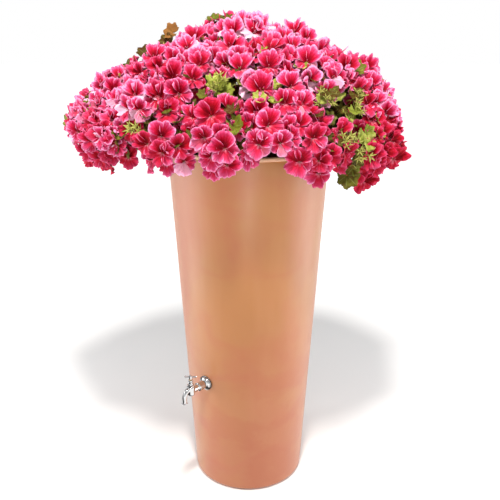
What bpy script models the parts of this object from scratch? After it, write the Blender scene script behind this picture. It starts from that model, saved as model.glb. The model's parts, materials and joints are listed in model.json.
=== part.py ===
"""Two-in-one rain barrel: a tapered round tank with a garden tap, and a planter bowl that closes
its mouth and lifts out with the pelargoniums planted in it.

Metres, +Z up. The origin is the centre of the barrel's underside, the barrel's axis is Z, and its
front faces -Y. An angle is counted anticlockwise from +X, seen from above, so the front is at -90.
Pieces that touch keep GAP between them.
"""

import math

import bmesh
import bpy
from mathutils import Vector
from mathutils.geometry import interpolate_bezier

GAP = 0.0003

# Barrel: its wall is a straight cone, described by its radius at the floor and at HEIGHT.
HEIGHT = 1.200  # to the top of the bowl's lip, which covers the barrel's rim
FLOOR_RADIUS = 0.1934
MOUTH_RADIUS = 0.2633
WALL = 0.005
BASE_ROUND = 0.016
RIM_ROUND = 0.0015
BARREL_STEPS = 72

# Planter bowl, hung by its lip in the barrel's mouth.
LIP_HEIGHT = 0.0122
LIP_OVERHANG = 0.0050  # past the barrel's wall
LIP_ROUND = 0.0035
BOWL_DEPTH = 0.200
BOWL_WALL = 0.004
BOWL_PLAY = 0.0018  # between the bowl and the inside of the barrel's rim
BOWL_TAPER = 0.024  # how much narrower the bowl is at its floor
BOWL_STEPS = 48
DRAIN_RADIUS = 0.020

# Strainer pressed into the hole in the bowl's floor.
STRAINER_FLANGE = 0.027
STRAINER_HEIGHT = 0.032
STRAINER_WALL = 0.002
STRAINER_TAIL = 0.016
STRAINER_SLOTS = 6
STRAINER_SLOT_WIDTH = 0.005

# Potting soil.
SOIL_BELOW_LIP = 0.034
SOIL_CROWN = 0.004  # how much higher its middle is

# Pelargoniums: one in the middle and six round it, each a stem and its piece of one domed canopy.
CANOPY_CENTRE = Vector((-0.030, 0.0, 0.0))
CANOPY_TOP = 1.590
CANOPY_WIDEST = 1.250
SIDE_REACH = 0.550
FRONT_REACH = 0.430
CANOPY_SKIN = 0.020
CROWN_EDGE = 68  # degrees up the dome, where the middle plant ends
DOME_POWER = 1.12  # 1 is a round dome, and more has flatter shoulders
DOME_SKEW = 0.06  # the left shoulder is this much flatter, and the right one rounder
HEM_TUCK = 0.12  # the share by which the hem hangs nearer the barrel than the widest line
HEM_HEIGHTS = {  # by angle: it is highest over the front, where it shows the lip
    -180: 1.110,
    -150: 1.155,
    -115: 1.185,
    -77: 1.225,
    -50: 1.150,
    -25: 1.100,
    10: 1.125,
    90: 1.130,
    150: 1.125,
    180: 1.110,
}
PLANT_GAP = 2  # degrees between neighbours
STEM_RADIUS = 0.011
STEM_FOOT = 0.150  # from the barrel's axis
OUTER_PLANTS = {
    "front_left": -120,
    "front_right": -60,
    "right": 0,
    "rear_right": 60,
    "rear_left": 120,
    "left": 180,
}

# Tap. Its own frame lies on the barrel's wall: X straight out, Z up.
TAP_ANGLE = -131
TAP_HEIGHT = 0.416
TAIL_RADIUS = 0.0125
TAIL_BACK = -0.028
TAP_HOLE_RADIUS = 0.0131
ROSETTE_RADIUS = 0.0255
ROSETTE_DEPTH = 0.0125
SEAL_RADIUS = 0.0245
SEAL_FACE = 0.0035
INNER_SEAL_RADIUS = 0.0195
INNER_SEAL_FACE = -0.0092
NUT_THICKNESS = 0.008
COLLAR_RADIUS = 0.0148
COLLAR_END = 0.042
NECK_RADIUS = 0.0110
VALVE_X = 0.073  # the upright axis of the valve, out from the wall
CHAMBER_RADIUS = 0.0135
CHAMBER_TOP = 0.0165
CHAMBER_BORE = 0.0098
SEAT_HEIGHT = 0.0020
SEAT_RADIUS = 0.0050
SPOUT_X = 0.103
SPOUT_ROOT = 0.0075
SPOUT_OUTLET = -0.036
SPOUT_RADIUS = 0.0080
SPOUT_BORE = 0.0052
SPINDLE_RADIUS = 0.0040
SPINDLE_TOP = 0.0500
HANDLE_HEIGHT = 0.0525
HANDLE_LENGTH = 0.040
HANDLE_RADIUS = 0.0031
TAP_STEPS = 24

# Inlet for a downpipe's filler hose, at the back, just under the bowl's floor.
INLET_ANGLE = 90
INLET_HEIGHT = 0.930
INLET_BORE = 0.0125
INLET_SPIGOT = 0.0155
INLET_THREAD = 0.0168
INLET_FLANGE = 0.0270
INLET_LENGTH = 0.052
INLET_STEPS = 24


def wall_radius(height):
    """The barrel's outer radius at this height."""
    return FLOOR_RADIUS + (MOUTH_RADIUS - FLOOR_RADIUS) * height / HEIGHT


def make_material(name, colour, roughness, metallic=0.0):
    material = bpy.data.materials.new(name)
    material.use_nodes = True
    shader = material.node_tree.nodes["Principled BSDF"]
    shader.inputs["Base Color"].default_value = (*colour, 1.0)
    shader.inputs["Roughness"].default_value = roughness
    shader.inputs["Metallic"].default_value = metallic
    material.diffuse_color = (*colour, 1.0)
    return material


def make_materials():
    return {
        "terracotta": make_material("terracotta_plastic", (0.60, 0.27, 0.12), 0.55),
        "bowl": make_material("bowl_plastic", (0.72, 0.38, 0.20), 0.50),
        "black_plastic": make_material("black_plastic", (0.03, 0.03, 0.03), 0.45),
        "rubber": make_material("black_rubber", (0.02, 0.02, 0.02), 0.80),
        "chrome": make_material("tap_chrome", (0.80, 0.80, 0.80), 0.08, 1.0),
        "brass": make_material("valve_brass", (0.66, 0.48, 0.20), 0.30, 1.0),
        "soil": make_material("potting_soil", (0.06, 0.04, 0.025), 0.95),
        "plant": make_material("pelargonium", (0.62, 0.05, 0.17), 0.60),
    }


def arc(centre_radius, centre_height, radius, start, end, pieces=3):
    """Outline points on an arc, its angles in degrees from the outward direction."""
    angles = [math.radians(start + (end - start) * i / pieces) for i in range(pieces + 1)]
    return [(centre_radius + radius * math.cos(a), centre_height + radius * math.sin(a)) for a in angles]


def lofted(name, loops, material, closed=False):
    """A closed solid through loops of equally many points: a ring of loops, or a row with two end caps."""
    mesh = bmesh.new()
    rows = [[mesh.verts.new(point) for point in loop] for loop in loops]
    following = rows[1:] + rows[:1] if closed else rows[1:]
    for row, other in zip(rows, following):
        for i in range(len(row)):
            j = (i + 1) % len(row)
            mesh.faces.new((row[i], row[j], other[j], other[i]))
    if not closed:
        mesh.faces.new(rows[0])
        mesh.faces.new(rows[-1])
    bmesh.ops.recalc_face_normals(mesh, faces=mesh.faces)
    data = bpy.data.meshes.new(name)
    mesh.to_mesh(data)
    mesh.free()
    data.shade_smooth()
    data.set_sharp_from_angle(angle=math.radians(35))
    data.materials.append(material)
    solid = bpy.data.objects.new(name, data)
    bpy.context.scene.collection.objects.link(solid)
    return solid


def turned(name, outline, material, steps, closed=False):
    """A solid turned about its own Z from (radius, height) points. A closed outline has a hole along
    the axis, and an open one has a flat cap at each end."""
    turns = [2 * math.pi * i / steps for i in range(steps)]
    loops = [[(r * math.cos(t), r * math.sin(t), h) for t in turns] for r, h in outline]
    return lofted(name, loops, material, closed)


def tube(name, path, radii, material, sides=12):
    """A solid round bar along a path."""
    loops = []
    for i, (point, radius) in enumerate(zip(path, radii)):
        along = (path[min(i + 1, len(path) - 1)] - path[max(i - 1, 0)]).normalized()
        across = along.cross(Vector((0, 1, 0)))
        if across.length < 0.1:
            across = along.cross(Vector((1, 0, 0)))
        across.normalize()
        other = along.cross(across)
        turns = [2 * math.pi * s / sides for s in range(sides)]
        loops.append([point + radius * (math.cos(t) * across + math.sin(t) * other) for t in turns])
    return lofted(name, loops, material)


def block(name, size, material):
    """A box centred on its own origin."""
    x, y, z = (side / 2 for side in size)
    loops = [[(-x, -y, h), (x, -y, h), (x, y, h), (-x, y, h)] for h in (-z, z)]
    return lofted(name, loops, material)


def combine(target, other, operation="DIFFERENCE"):
    """A Boolean of target with other, which becomes a hidden helper."""
    modifier = target.modifiers.new(other.name, "BOOLEAN")
    modifier.operation = operation
    modifier.object = other
    modifier.solver = "EXACT"
    other.hide_render = True
    other.display_type = "WIRE"


def place(piece, parent, location=(0, 0, 0), turn_out=False, spin=0.0):
    """Puts a piece in its parent's frame. turn_out lays its own Z along the parent's X."""
    piece.parent = parent
    piece.location = location
    piece.rotation_euler = (0, math.pi / 2 if turn_out else 0, spin)
    return piece


def wall_frame(name, angle, height):
    """An empty on the barrel's wall, with X pointing straight out and Z up."""
    frame = bpy.data.objects.new(name, None)
    bpy.context.scene.collection.objects.link(frame)
    turn = math.radians(angle)
    radius = wall_radius(height)
    frame.location = (radius * math.cos(turn), radius * math.sin(turn), height)
    frame.rotation_euler = (0, 0, turn)
    return frame


def wall_solid(name, offset, material):
    """A solid cone that follows the barrel's wall at this distance, to shape what seals against it."""
    ends = (-0.05, HEIGHT)
    return turned(name, [(wall_radius(h) + offset, h) for h in ends], material, BARREL_STEPS)


def make_barrel(materials, holes):
    """The tank: one open-topped shell with a flat base, and a hole for each fitting."""
    top = HEIGHT - LIP_HEIGHT - GAP
    inner_round = BASE_ROUND - WALL / 2
    corner = wall_radius(BASE_ROUND) - BASE_ROUND
    inner_corner = wall_radius(BASE_ROUND) - WALL - inner_round
    outline = arc(corner, BASE_ROUND, BASE_ROUND, -90, 0, 5)
    outline += arc(wall_radius(top) - RIM_ROUND, top - RIM_ROUND, RIM_ROUND, 0, 90, 2)
    outline += arc(wall_radius(top) - WALL + RIM_ROUND, top - RIM_ROUND, RIM_ROUND, 90, 180, 2)
    outline += arc(inner_corner, WALL + inner_round, inner_round, 0, -90, 4)
    barrel = turned("barrel_shell", outline, materials["terracotta"], BARREL_STEPS)
    for hole in holes:
        combine(barrel, hole)
    return barrel


def bowl_inner_radius(height):
    """The inside of the bowl's tapered wall."""
    rim = wall_radius(HEIGHT - LIP_HEIGHT) - WALL - BOWL_PLAY - BOWL_WALL
    return rim - BOWL_TAPER * (HEIGHT - height) / BOWL_DEPTH


def make_bowl(materials):
    """The planter bowl: a tapered tub with a drain hole and a rounded lip that rests on the rim."""
    floor = HEIGHT - BOWL_DEPTH
    lip_bottom = HEIGHT - LIP_HEIGHT
    lip_radius = wall_radius(HEIGHT) + LIP_OVERHANG - LIP_ROUND
    corner = 0.010
    inner_corner = bowl_inner_radius(floor + BOWL_WALL + corner) - corner
    outer_corner = bowl_inner_radius(floor + corner) + BOWL_WALL - corner - BOWL_WALL / 2
    outline = [(DRAIN_RADIUS, floor + BOWL_WALL)]
    outline += arc(inner_corner, floor + BOWL_WALL + corner, corner, -90, 0)
    outline += arc(bowl_inner_radius(HEIGHT) + 0.002, HEIGHT - 0.002, 0.002, 180, 90, 2)
    outline += arc(lip_radius, HEIGHT - LIP_ROUND, LIP_ROUND, 90, 0)
    outline += arc(lip_radius, lip_bottom + LIP_ROUND, LIP_ROUND, 0, -90)
    outline += [(bowl_inner_radius(lip_bottom) + BOWL_WALL, lip_bottom)]
    outer_round = corner + BOWL_WALL / 2
    outline += arc(outer_corner, floor + outer_round, outer_round, 0, -90)
    outline += [(DRAIN_RADIUS, floor)]
    return turned("planter_bowl", outline, materials["bowl"], BOWL_STEPS, closed=True)


def make_strainer(materials):
    """A slotted cap on the bowl's drain hole: it holds the soil back and lets surplus rain through."""
    floor = HEIGHT - BOWL_DEPTH
    seat = floor + BOWL_WALL + GAP
    tail = DRAIN_RADIUS - GAP
    cap = tail - 0.001
    crown = seat + STRAINER_HEIGHT
    inner = cap - STRAINER_WALL
    outline = arc(inner - 0.007, crown - STRAINER_WALL - 0.007, 0.007, 90, 0)
    outline += [(inner, floor - STRAINER_TAIL), (tail, floor - STRAINER_TAIL), (tail, seat)]
    outline += [(STRAINER_FLANGE, seat), (STRAINER_FLANGE, seat + 0.0025), (cap, seat + 0.0025)]
    outline += arc(cap - 0.008, crown - 0.008, 0.008, 0, 90)
    strainer = turned("bowl_strainer", outline, materials["black_plastic"], 24)
    slot_height = STRAINER_HEIGHT - 0.016
    for i in range(STRAINER_SLOTS // 2):
        size = (0.06, STRAINER_SLOT_WIDTH, slot_height)
        slots = block(f"strainer_slots_{i}", size, materials["black_plastic"])
        slots.location = (0, 0, seat + 0.007 + slot_height / 2)
        slots.rotation_euler = (0, 0, 2 * math.pi * i / STRAINER_SLOTS)
        combine(strainer, slots)


def make_soil(materials):
    """The potting soil: it fills the bowl and is hollow where the strainer stands."""
    floor = HEIGHT - BOWL_DEPTH + BOWL_WALL
    top = HEIGHT - SOIL_BELOW_LIP
    bottom = floor + GAP
    corner = 0.011
    outline = [(0.004, top + SOIL_CROWN), (0.120, top + SOIL_CROWN / 2)]
    outline += [(bowl_inner_radius(top) - 0.0006, top)]
    outline += arc(bowl_inner_radius(bottom + corner) - 0.0006 - corner, bottom + corner, corner, 0, -90)
    outline += [(STRAINER_FLANGE + 0.001, bottom), (STRAINER_FLANGE + 0.001, bottom + 0.0038)]
    hollow = floor + STRAINER_HEIGHT
    outline += [(DRAIN_RADIUS + 0.0005, bottom + 0.0045), (DRAIN_RADIUS + 0.0005, hollow)]
    outline += [(DRAIN_RADIUS - 0.008, hollow + 0.004), (0.004, hollow + 0.005)]
    return turned("potting_soil", outline, materials["soil"], BOWL_STEPS)


def canopy_reach(angle):
    """How far the canopy stands out from its centre: an oval, wider than it is deep."""
    turn = math.radians(angle)
    return 1 / math.hypot(math.cos(turn) / SIDE_REACH, math.sin(turn) / FRONT_REACH)


def canopy_hem(angle):
    """The height of the canopy's lower edge, smooth between the angles of HEM_HEIGHTS."""
    angle = (angle + 180) % 360 - 180
    before = max(key for key in HEM_HEIGHTS if key <= angle)
    after = min(key for key in HEM_HEIGHTS if key > angle)
    share = (1 - math.cos(math.pi * (angle - before) / (after - before))) / 2
    return HEM_HEIGHTS[before] + (HEM_HEIGHTS[after] - HEM_HEIGHTS[before]) * share


def canopy_point(angle, rise, depth=0.0):
    """A point of the canopy, depth under its outer face. rise is in degrees up the dome from the
    widest line, or from 0 to -1 down to the hem."""
    turn = math.radians(angle)
    up = math.radians(max(rise, 0))
    down = max(-rise, 0)
    power = DOME_POWER - DOME_SKEW * math.cos(turn)
    radius = canopy_reach(angle) * math.cos(up) ** power * (1 - HEM_TUCK * down**2)
    height = CANOPY_WIDEST + (CANOPY_TOP - CANOPY_WIDEST) * math.sin(up) ** power
    height += (canopy_hem(angle) - CANOPY_WIDEST) * down
    radius -= depth * math.cos(up)
    height -= depth * math.sin(up)
    return CANOPY_CENTRE + Vector((radius * math.cos(turn), radius * math.sin(turn), height))


def make_stem(name, foot_angle, foot_radius, top, materials):
    turn = math.radians(foot_angle)
    foot_height = HEIGHT - SOIL_BELOW_LIP + SOIL_CROWN + GAP
    foot = Vector((foot_radius * math.cos(turn), foot_radius * math.sin(turn), foot_height))
    path = [foot, foot + Vector((0, 0, 0.06)), top]
    return tube(name, path, [STEM_RADIUS * 1.4, STEM_RADIUS * 1.2, STEM_RADIUS], materials["plant"], 8)


def make_middle_plant(materials):
    """The plant in the middle: the crown of the dome on one upright stem."""
    angles = range(0, 360, 15)
    rises = (86, 77, CROWN_EDGE + 1)
    loops = [[canopy_point(a, rise) for a in angles] for rise in rises]
    loops += [[canopy_point(a, rise, CANOPY_SKIN) for a in angles] for rise in reversed(rises)]
    plant = lofted("pelargonium_middle", loops, materials["plant"])
    top = canopy_point(0, 90, CANOPY_SKIN / 2)
    combine(plant, make_stem("middle_stem", 180, 0.010, top, materials), "UNION")


def make_outer_plant(side, angle, materials):
    """One of the plants round the edge: a sector of the dome that hangs over the lip, on a stem."""
    rises = (CROWN_EDGE, 54, 40, 27, 13, 0, -0.35, -0.7, -1)
    first = angle - 30 + PLANT_GAP / 2
    sweep = 60 - PLANT_GAP
    loops = []
    for i in range(7):
        at = first + sweep * i / 6
        outer = [canopy_point(at, rise) for rise in rises]
        inner = [canopy_point(at, rise, CANOPY_SKIN) for rise in reversed(rises)]
        loops.append(outer + inner)
    plant = lofted(f"pelargonium_{side}", loops, materials["plant"])
    top = canopy_point(angle, 47, CANOPY_SKIN / 2)
    combine(plant, make_stem(f"{side}_stem", angle, STEM_FOOT, top, materials), "UNION")


def make_fitting_seals(name, frame, bore, inner_radius, steps, materials):
    """The rubber rings outside and inside the wall, flat to the fitting and curved to the barrel."""
    rubber = materials["rubber"]
    ring = [(bore, -0.004), (SEAL_RADIUS, -0.004), (SEAL_RADIUS, SEAL_FACE), (bore, SEAL_FACE)]
    outer = turned(f"{name}_outer_seal", ring, rubber, steps, closed=True)
    combine(place(outer, frame, turn_out=True), wall_solid(f"{name}_outer_wall", GAP, rubber))
    ring = [(bore, INNER_SEAL_FACE), (inner_radius, INNER_SEAL_FACE), (inner_radius, 0), (bore, 0)]
    inner = turned(f"{name}_inner_seal", ring, rubber, steps, closed=True)
    inner_wall = wall_solid(f"{name}_inner_wall", -WALL - GAP, rubber)
    combine(place(inner, frame, turn_out=True), inner_wall, "INTERSECT")


def make_back_nut(name, frame, bore, radius, face, material):
    """A hexagon nut on the fitting's thread, inside the barrel."""
    ring = [(bore, face - NUT_THICKNESS), (radius, face - NUT_THICKNESS), (radius, face), (bore, face)]
    nut = turned(name, ring, material, 6, closed=True)
    place(nut, frame, turn_out=True)
    hole = turned(f"{name}_bore", [(bore + GAP, face - 0.02), (bore + GAP, face + 0.01)], material, 24)
    combine(nut, place(hole, frame, turn_out=True))


def make_wall_hole(name, frame, radius, steps, material):
    """The cutter for a fitting's hole in the barrel's wall."""
    hole = turned(name, [(radius, -0.03), (radius, 0.03)], material, steps)
    return place(hole, frame, turn_out=True)


def make_rosette(frame, materials):
    """The domed cover plate between the tap's collar and the seal."""
    back = SEAL_FACE + GAP
    bore = TAIL_RADIUS + GAP
    outline = [(bore, back), (ROSETTE_RADIUS, back), (ROSETTE_RADIUS, back + 0.0015)]
    outline += arc(bore + 0.004, back + 0.0035, ROSETTE_DEPTH - 0.0035, 10, 88, 5)
    outline += [(bore, back + ROSETTE_DEPTH)]
    rosette = turned("tap_rosette", outline, materials["chrome"], TAP_STEPS, closed=True)
    place(rosette, frame, turn_out=True)


def spout_path(start, end):
    """The spout's centre line, from over the valve's chamber, out and over and straight down."""
    root = Vector((start, 0, SPOUT_ROOT))
    bend = Vector((SPOUT_X, 0, -0.020))
    path = interpolate_bezier(root, root + Vector((0.020, 0, 0.004)), bend + Vector((0, 0, 0.017)), bend, 10)
    return [Vector(point) for point in path] + [Vector((SPOUT_X, 0, end))]


def make_tap_body(frame, materials):
    """The tap's casting: threaded tail, collar, neck, valve chamber and spout, with its waterway."""
    chrome = materials["chrome"]
    collar = SEAL_FACE + ROSETTE_DEPTH + 2 * GAP
    outline = [(TAIL_RADIUS - 0.001, TAIL_BACK), (TAIL_RADIUS, TAIL_BACK + 0.001), (TAIL_RADIUS, collar)]
    outline += [(COLLAR_RADIUS - 0.001, collar), (COLLAR_RADIUS, collar + 0.001)]
    outline += arc(COLLAR_RADIUS - 0.002, COLLAR_END - 0.002, 0.002, 0, 90, 3)
    outline += [(NECK_RADIUS + 0.0005, COLLAR_END + 0.001), (NECK_RADIUS, COLLAR_END + 0.004)]
    outline += [(NECK_RADIUS, VALVE_X)]
    body = turned("tap_body", outline, chrome, TAP_STEPS)
    place(body, frame, turn_out=True)

    outline = arc(CHAMBER_RADIUS - 0.007, -0.0085, 0.007, -80, 0, 5)
    outline += [(CHAMBER_RADIUS, CHAMBER_TOP - 0.0008), (CHAMBER_RADIUS - 0.0008, CHAMBER_TOP)]
    chamber = turned("tap_chamber", outline, chrome, TAP_STEPS)
    combine(body, place(chamber, frame, (VALVE_X, 0, 0)), "UNION")

    path = spout_path(VALVE_X, SPOUT_OUTLET)
    path[-1:] = [Vector((SPOUT_X, 0, SPOUT_OUTLET + step)) for step in (0.0052, 0.0040, 0.0012, 0)]
    bead = [SPOUT_RADIUS * share for share in (0.95, 1.08, 1.08, 1.0)]
    radii = [SPOUT_RADIUS * (1.05 - 0.01 * i) for i in range(len(path) - len(bead))]
    spout = tube("tap_spout", path, radii + bead, chrome, 20)
    combine(body, place(spout, frame), "UNION")

    inlet = turned("inlet_bore", [(0.0078, TAIL_BACK - 0.002), (0.0078, 0.046)], chrome, 20)
    combine(body, place(inlet, frame, turn_out=True))
    passage = turned("inlet_passage", [(0.0045, 0.040), (0.0045, VALVE_X + 0.0035)], chrome, 16)
    combine(body, place(passage, frame, (0, 0, -0.0047), turn_out=True))
    seat = turned("seat_bore", [(SEAT_RADIUS, -0.0060), (SEAT_RADIUS, SEAT_HEIGHT + 0.002)], chrome, 16)
    combine(body, place(seat, frame, (VALVE_X, 0, 0)))
    bore = turned("chamber_bore", [(CHAMBER_BORE, SEAT_HEIGHT), (CHAMBER_BORE, 0.03)], chrome, TAP_STEPS)
    combine(body, place(bore, frame, (VALVE_X, 0, 0)))
    path = spout_path(VALVE_X + 0.003, SPOUT_OUTLET - 0.004)
    radii = [0.0042 + (SPOUT_BORE - 0.0042) * i / (len(path) - 1) for i in range(len(path))]
    combine(body, place(tube("spout_bore", path, radii, chrome), frame))


def make_bonnet(frame, materials):
    """The bonnet over the chamber, with its gland packing and the nut that squeezes it."""
    chrome = materials["chrome"]
    seat = CHAMBER_TOP + GAP
    skirt = CHAMBER_BORE - GAP
    stem_bore = SPINDLE_RADIUS + GAP
    outline = [(0.0062, seat - 0.005), (skirt, seat - 0.005), (skirt, seat), (0.0122, seat)]
    outline += [(0.0128, seat + 0.0006), (0.0128, seat + 0.0056), (0.0120, seat + 0.0062)]
    outline += [(0.0090, seat + 0.0066), (0.0082, 0.0300)]
    outline += [(0.0082, 0.0355), (0.0078, 0.0360), (0.0064, 0.0360), (0.0064, 0.0320), (stem_bore, 0.0320)]
    outline += [(stem_bore, 0.0280), (0.0062, 0.0280)]
    place(turned("tap_bonnet", outline, chrome, TAP_STEPS, closed=True), frame, (VALVE_X, 0, 0))

    ring = [(stem_bore, 0.0323), (0.0060, 0.0323), (0.0060, 0.0348), (stem_bore, 0.0348)]
    packing = turned("tap_gland_packing", ring, materials["rubber"], 24, closed=True)
    place(packing, frame, (VALVE_X, 0, 0))

    outline = [(stem_bore, 0.0351), (0.0060, 0.0351), (0.0060, 0.0363), (0.0074, 0.0363), (0.0078, 0.0367)]
    outline += [(0.0078, 0.0404), (0.0068, 0.0412), (stem_bore, 0.0412)]
    place(turned("tap_gland_nut", outline, chrome, TAP_STEPS, closed=True), frame, (VALVE_X, 0, 0))


def make_valve(frame, materials):
    """What rises off the seat: the jumper, its washer and the nut that holds the washer."""
    brass = materials["brass"]
    disc = SEAT_HEIGHT + 0.0025
    pin = 0.0021
    outline = [(pin, SEAT_HEIGHT - 0.0030), (pin, disc), (0.0080, disc), (0.0080, disc + 0.0020)]
    outline += [(pin, disc + 0.0020), (pin, disc + 0.0082)]
    place(turned("tap_jumper", outline, brass, 24), frame, (VALVE_X, 0, 0))

    low = SEAT_HEIGHT + GAP
    high = disc - GAP
    ring = [(pin + GAP, low), (0.0078, low), (0.0078, high), (pin + GAP, high)]
    washer = turned("tap_washer", ring, materials["rubber"], 24, closed=True)
    place(washer, frame, (VALVE_X, 0, 0))

    top = low - GAP
    ring = [(pin + GAP, top - 0.0020), (0.0042, top - 0.0020), (0.0042, top), (pin + GAP, top)]
    place(turned("tap_jumper_nut", ring, brass, 12, closed=True), frame, (VALVE_X, 0, 0))


def make_handle(frame, materials):
    """What turns: the spindle, the T-handle on its top and the screw that holds the handle."""
    chrome = materials["chrome"]
    foot = SEAT_HEIGHT + 0.0048
    outline = [(0.0024, foot + 0.0072), (0.0024, foot), (SPINDLE_RADIUS, foot), (SPINDLE_RADIUS, 0.0125)]
    outline += [(0.0059, 0.0130), (0.0059, 0.0220), (SPINDLE_RADIUS, 0.0225), (SPINDLE_RADIUS, SPINDLE_TOP)]
    outline += [(0.0020, SPINDLE_TOP), (0.0020, 0.0430)]
    place(turned("tap_spindle", outline, materials["brass"], 20), frame, (VALVE_X, 0, 0))

    hub_top = HANDLE_HEIGHT + 0.0038
    outline = [(0.0052, 0.0445), (0.0058, 0.0452), (0.0058, hub_top - 0.0008), (0.0050, hub_top)]
    handle = turned("tap_handle", outline, chrome, 20)
    spin = math.radians(-TAP_ANGLE)
    place(handle, frame, (VALVE_X, 0, 0), spin=spin)
    shares = ((-0.500, 0.5), (-0.485, 0.95), (-0.44, 1.2), (-0.39, 1.15), (-0.33, 0.9), (0.0, 0.95))
    shares += tuple((-along, thick) for along, thick in reversed(shares[:-1]))
    path = [Vector((HANDLE_LENGTH * along, 0, HANDLE_HEIGHT)) for along, _ in shares]
    bar = tube("handle_bar", path, [HANDLE_RADIUS * thick for _, thick in shares], chrome, 12)
    combine(handle, place(bar, frame, (VALVE_X, 0, 0), spin=spin), "UNION")
    socket = [(SPINDLE_RADIUS + GAP, 0.040), (SPINDLE_RADIUS + GAP, SPINDLE_TOP + GAP)]
    combine(handle, place(turned("handle_socket", socket, chrome, 20), frame, (VALVE_X, 0, 0)))
    screw_hole = turned("screw_hole", [(0.0020, 0.045), (0.0020, 0.060)], chrome, 16)
    combine(handle, place(screw_hole, frame, (VALVE_X, 0, 0)))

    head = hub_top + GAP
    outline = [(0.0016, 0.0440), (0.0016, head), (0.0036, head), (0.0036, head + 0.0008)]
    outline += arc(0.0021, head + 0.0008, 0.0015, 0, 80, 3)
    screw = turned("tap_handle_screw", outline, chrome, 16)
    place(screw, frame, (VALVE_X, 0, 0), spin=spin)
    slot = block("screw_slot", (0.0090, 0.0008, 0.0020), chrome)
    combine(screw, place(slot, frame, (VALVE_X, 0, head + 0.0026), spin=spin))


def make_tap(materials):
    """The tap and its fixing. Returns the cutter for its hole in the barrel."""
    frame = wall_frame("tap_frame", TAP_ANGLE, TAP_HEIGHT)
    bore = TAIL_RADIUS + GAP
    make_fitting_seals("tap", frame, bore, INNER_SEAL_RADIUS, TAP_STEPS, materials)
    make_back_nut("tap_back_nut", frame, bore, INNER_SEAL_RADIUS, INNER_SEAL_FACE - GAP, materials["brass"])
    make_rosette(frame, materials)
    make_tap_body(frame, materials)
    make_bonnet(frame, materials)
    make_valve(frame, materials)
    make_handle(frame, materials)
    return make_wall_hole("tap_hole", frame, TAP_HOLE_RADIUS, TAP_STEPS, materials["chrome"])


def make_inlet(materials):
    """The hose inlet and its fixing. Returns the cutter for its hole in the barrel."""
    plastic = materials["black_plastic"]
    frame = wall_frame("inlet_frame", INLET_ANGLE, INLET_HEIGHT)
    bore = INLET_THREAD + GAP
    make_fitting_seals("inlet", frame, bore, SEAL_RADIUS, INLET_STEPS, materials)
    make_back_nut("inlet_back_nut", frame, bore, SEAL_RADIUS, INNER_SEAL_FACE - GAP, plastic)

    face = SEAL_FACE + GAP
    outline = [(INLET_BORE, TAIL_BACK), (INLET_THREAD, TAIL_BACK), (INLET_THREAD, face), (INLET_FLANGE, face)]
    outline += [(INLET_FLANGE, face + 0.0030), (INLET_FLANGE - 0.001, face + 0.0040)]
    outline += [(INLET_SPIGOT, face + 0.0040)]
    barb = 0.008
    for i in range(3):
        start = INLET_LENGTH - (3 - i) * barb
        outline += [(INLET_SPIGOT, start), (INLET_SPIGOT + 0.0012, start + 0.0005)]
    outline += [(INLET_SPIGOT - 0.0006, INLET_LENGTH), (INLET_BORE, INLET_LENGTH)]
    spigot = turned("inlet_hose_connector", outline, plastic, INLET_STEPS, closed=True)
    place(spigot, frame, turn_out=True)
    return make_wall_hole("inlet_hole", frame, INLET_THREAD + 2 * GAP, INLET_STEPS, plastic)


def main():
    for old in list(bpy.data.objects):
        bpy.data.objects.remove(old)
    materials = make_materials()
    make_barrel(materials, [make_tap(materials), make_inlet(materials)])
    make_bowl(materials)
    make_strainer(materials)
    make_soil(materials)
    make_middle_plant(materials)
    for side, angle in OUTER_PLANTS.items():
        make_outer_plant(side, angle, materials)


main()
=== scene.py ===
"""Looks of the two-in-one rain barrel: a fine barrel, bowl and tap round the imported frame, and a
mound of modelled pelargoniums in place of its plain foliage solids. Metres, +Z up, front -Y."""

import json
import math
import random

import bpy
import numpy as np
from mathutils import Matrix, Vector
from mathutils.geometry import interpolate_bezier


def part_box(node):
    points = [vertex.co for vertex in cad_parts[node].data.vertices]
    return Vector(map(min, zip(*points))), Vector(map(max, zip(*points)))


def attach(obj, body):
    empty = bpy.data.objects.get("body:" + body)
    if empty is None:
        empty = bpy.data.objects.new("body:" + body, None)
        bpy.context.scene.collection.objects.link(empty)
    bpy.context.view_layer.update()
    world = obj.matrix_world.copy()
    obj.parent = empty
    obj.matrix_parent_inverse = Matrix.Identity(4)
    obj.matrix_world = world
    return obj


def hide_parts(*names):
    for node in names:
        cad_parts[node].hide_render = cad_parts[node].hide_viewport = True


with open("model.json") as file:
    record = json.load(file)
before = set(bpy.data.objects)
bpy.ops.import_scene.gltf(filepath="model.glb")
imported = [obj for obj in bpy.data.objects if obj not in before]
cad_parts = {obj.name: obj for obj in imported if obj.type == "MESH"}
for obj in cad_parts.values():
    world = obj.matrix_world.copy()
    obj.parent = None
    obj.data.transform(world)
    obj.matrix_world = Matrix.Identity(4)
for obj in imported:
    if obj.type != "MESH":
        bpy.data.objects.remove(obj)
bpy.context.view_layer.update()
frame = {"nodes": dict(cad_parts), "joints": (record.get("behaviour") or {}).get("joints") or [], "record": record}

SEED = 7
UP = Vector((0, 0, 1))

# Camera.
CAMERA_PLACE = (0.0, -2.1525, 1.5502)
CAMERA_PITCH = 18.39  # degrees below the horizon
CAMERA_LENS = 47.68
CAMERA_SHIFT = 0.003

# Lights, in watts, and the floor's half width.
SOFTBOX_POWER = 24
FILL_POWER = 135
KEY_POWER = 112
FLOOR_HALF = 30.0

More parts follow.
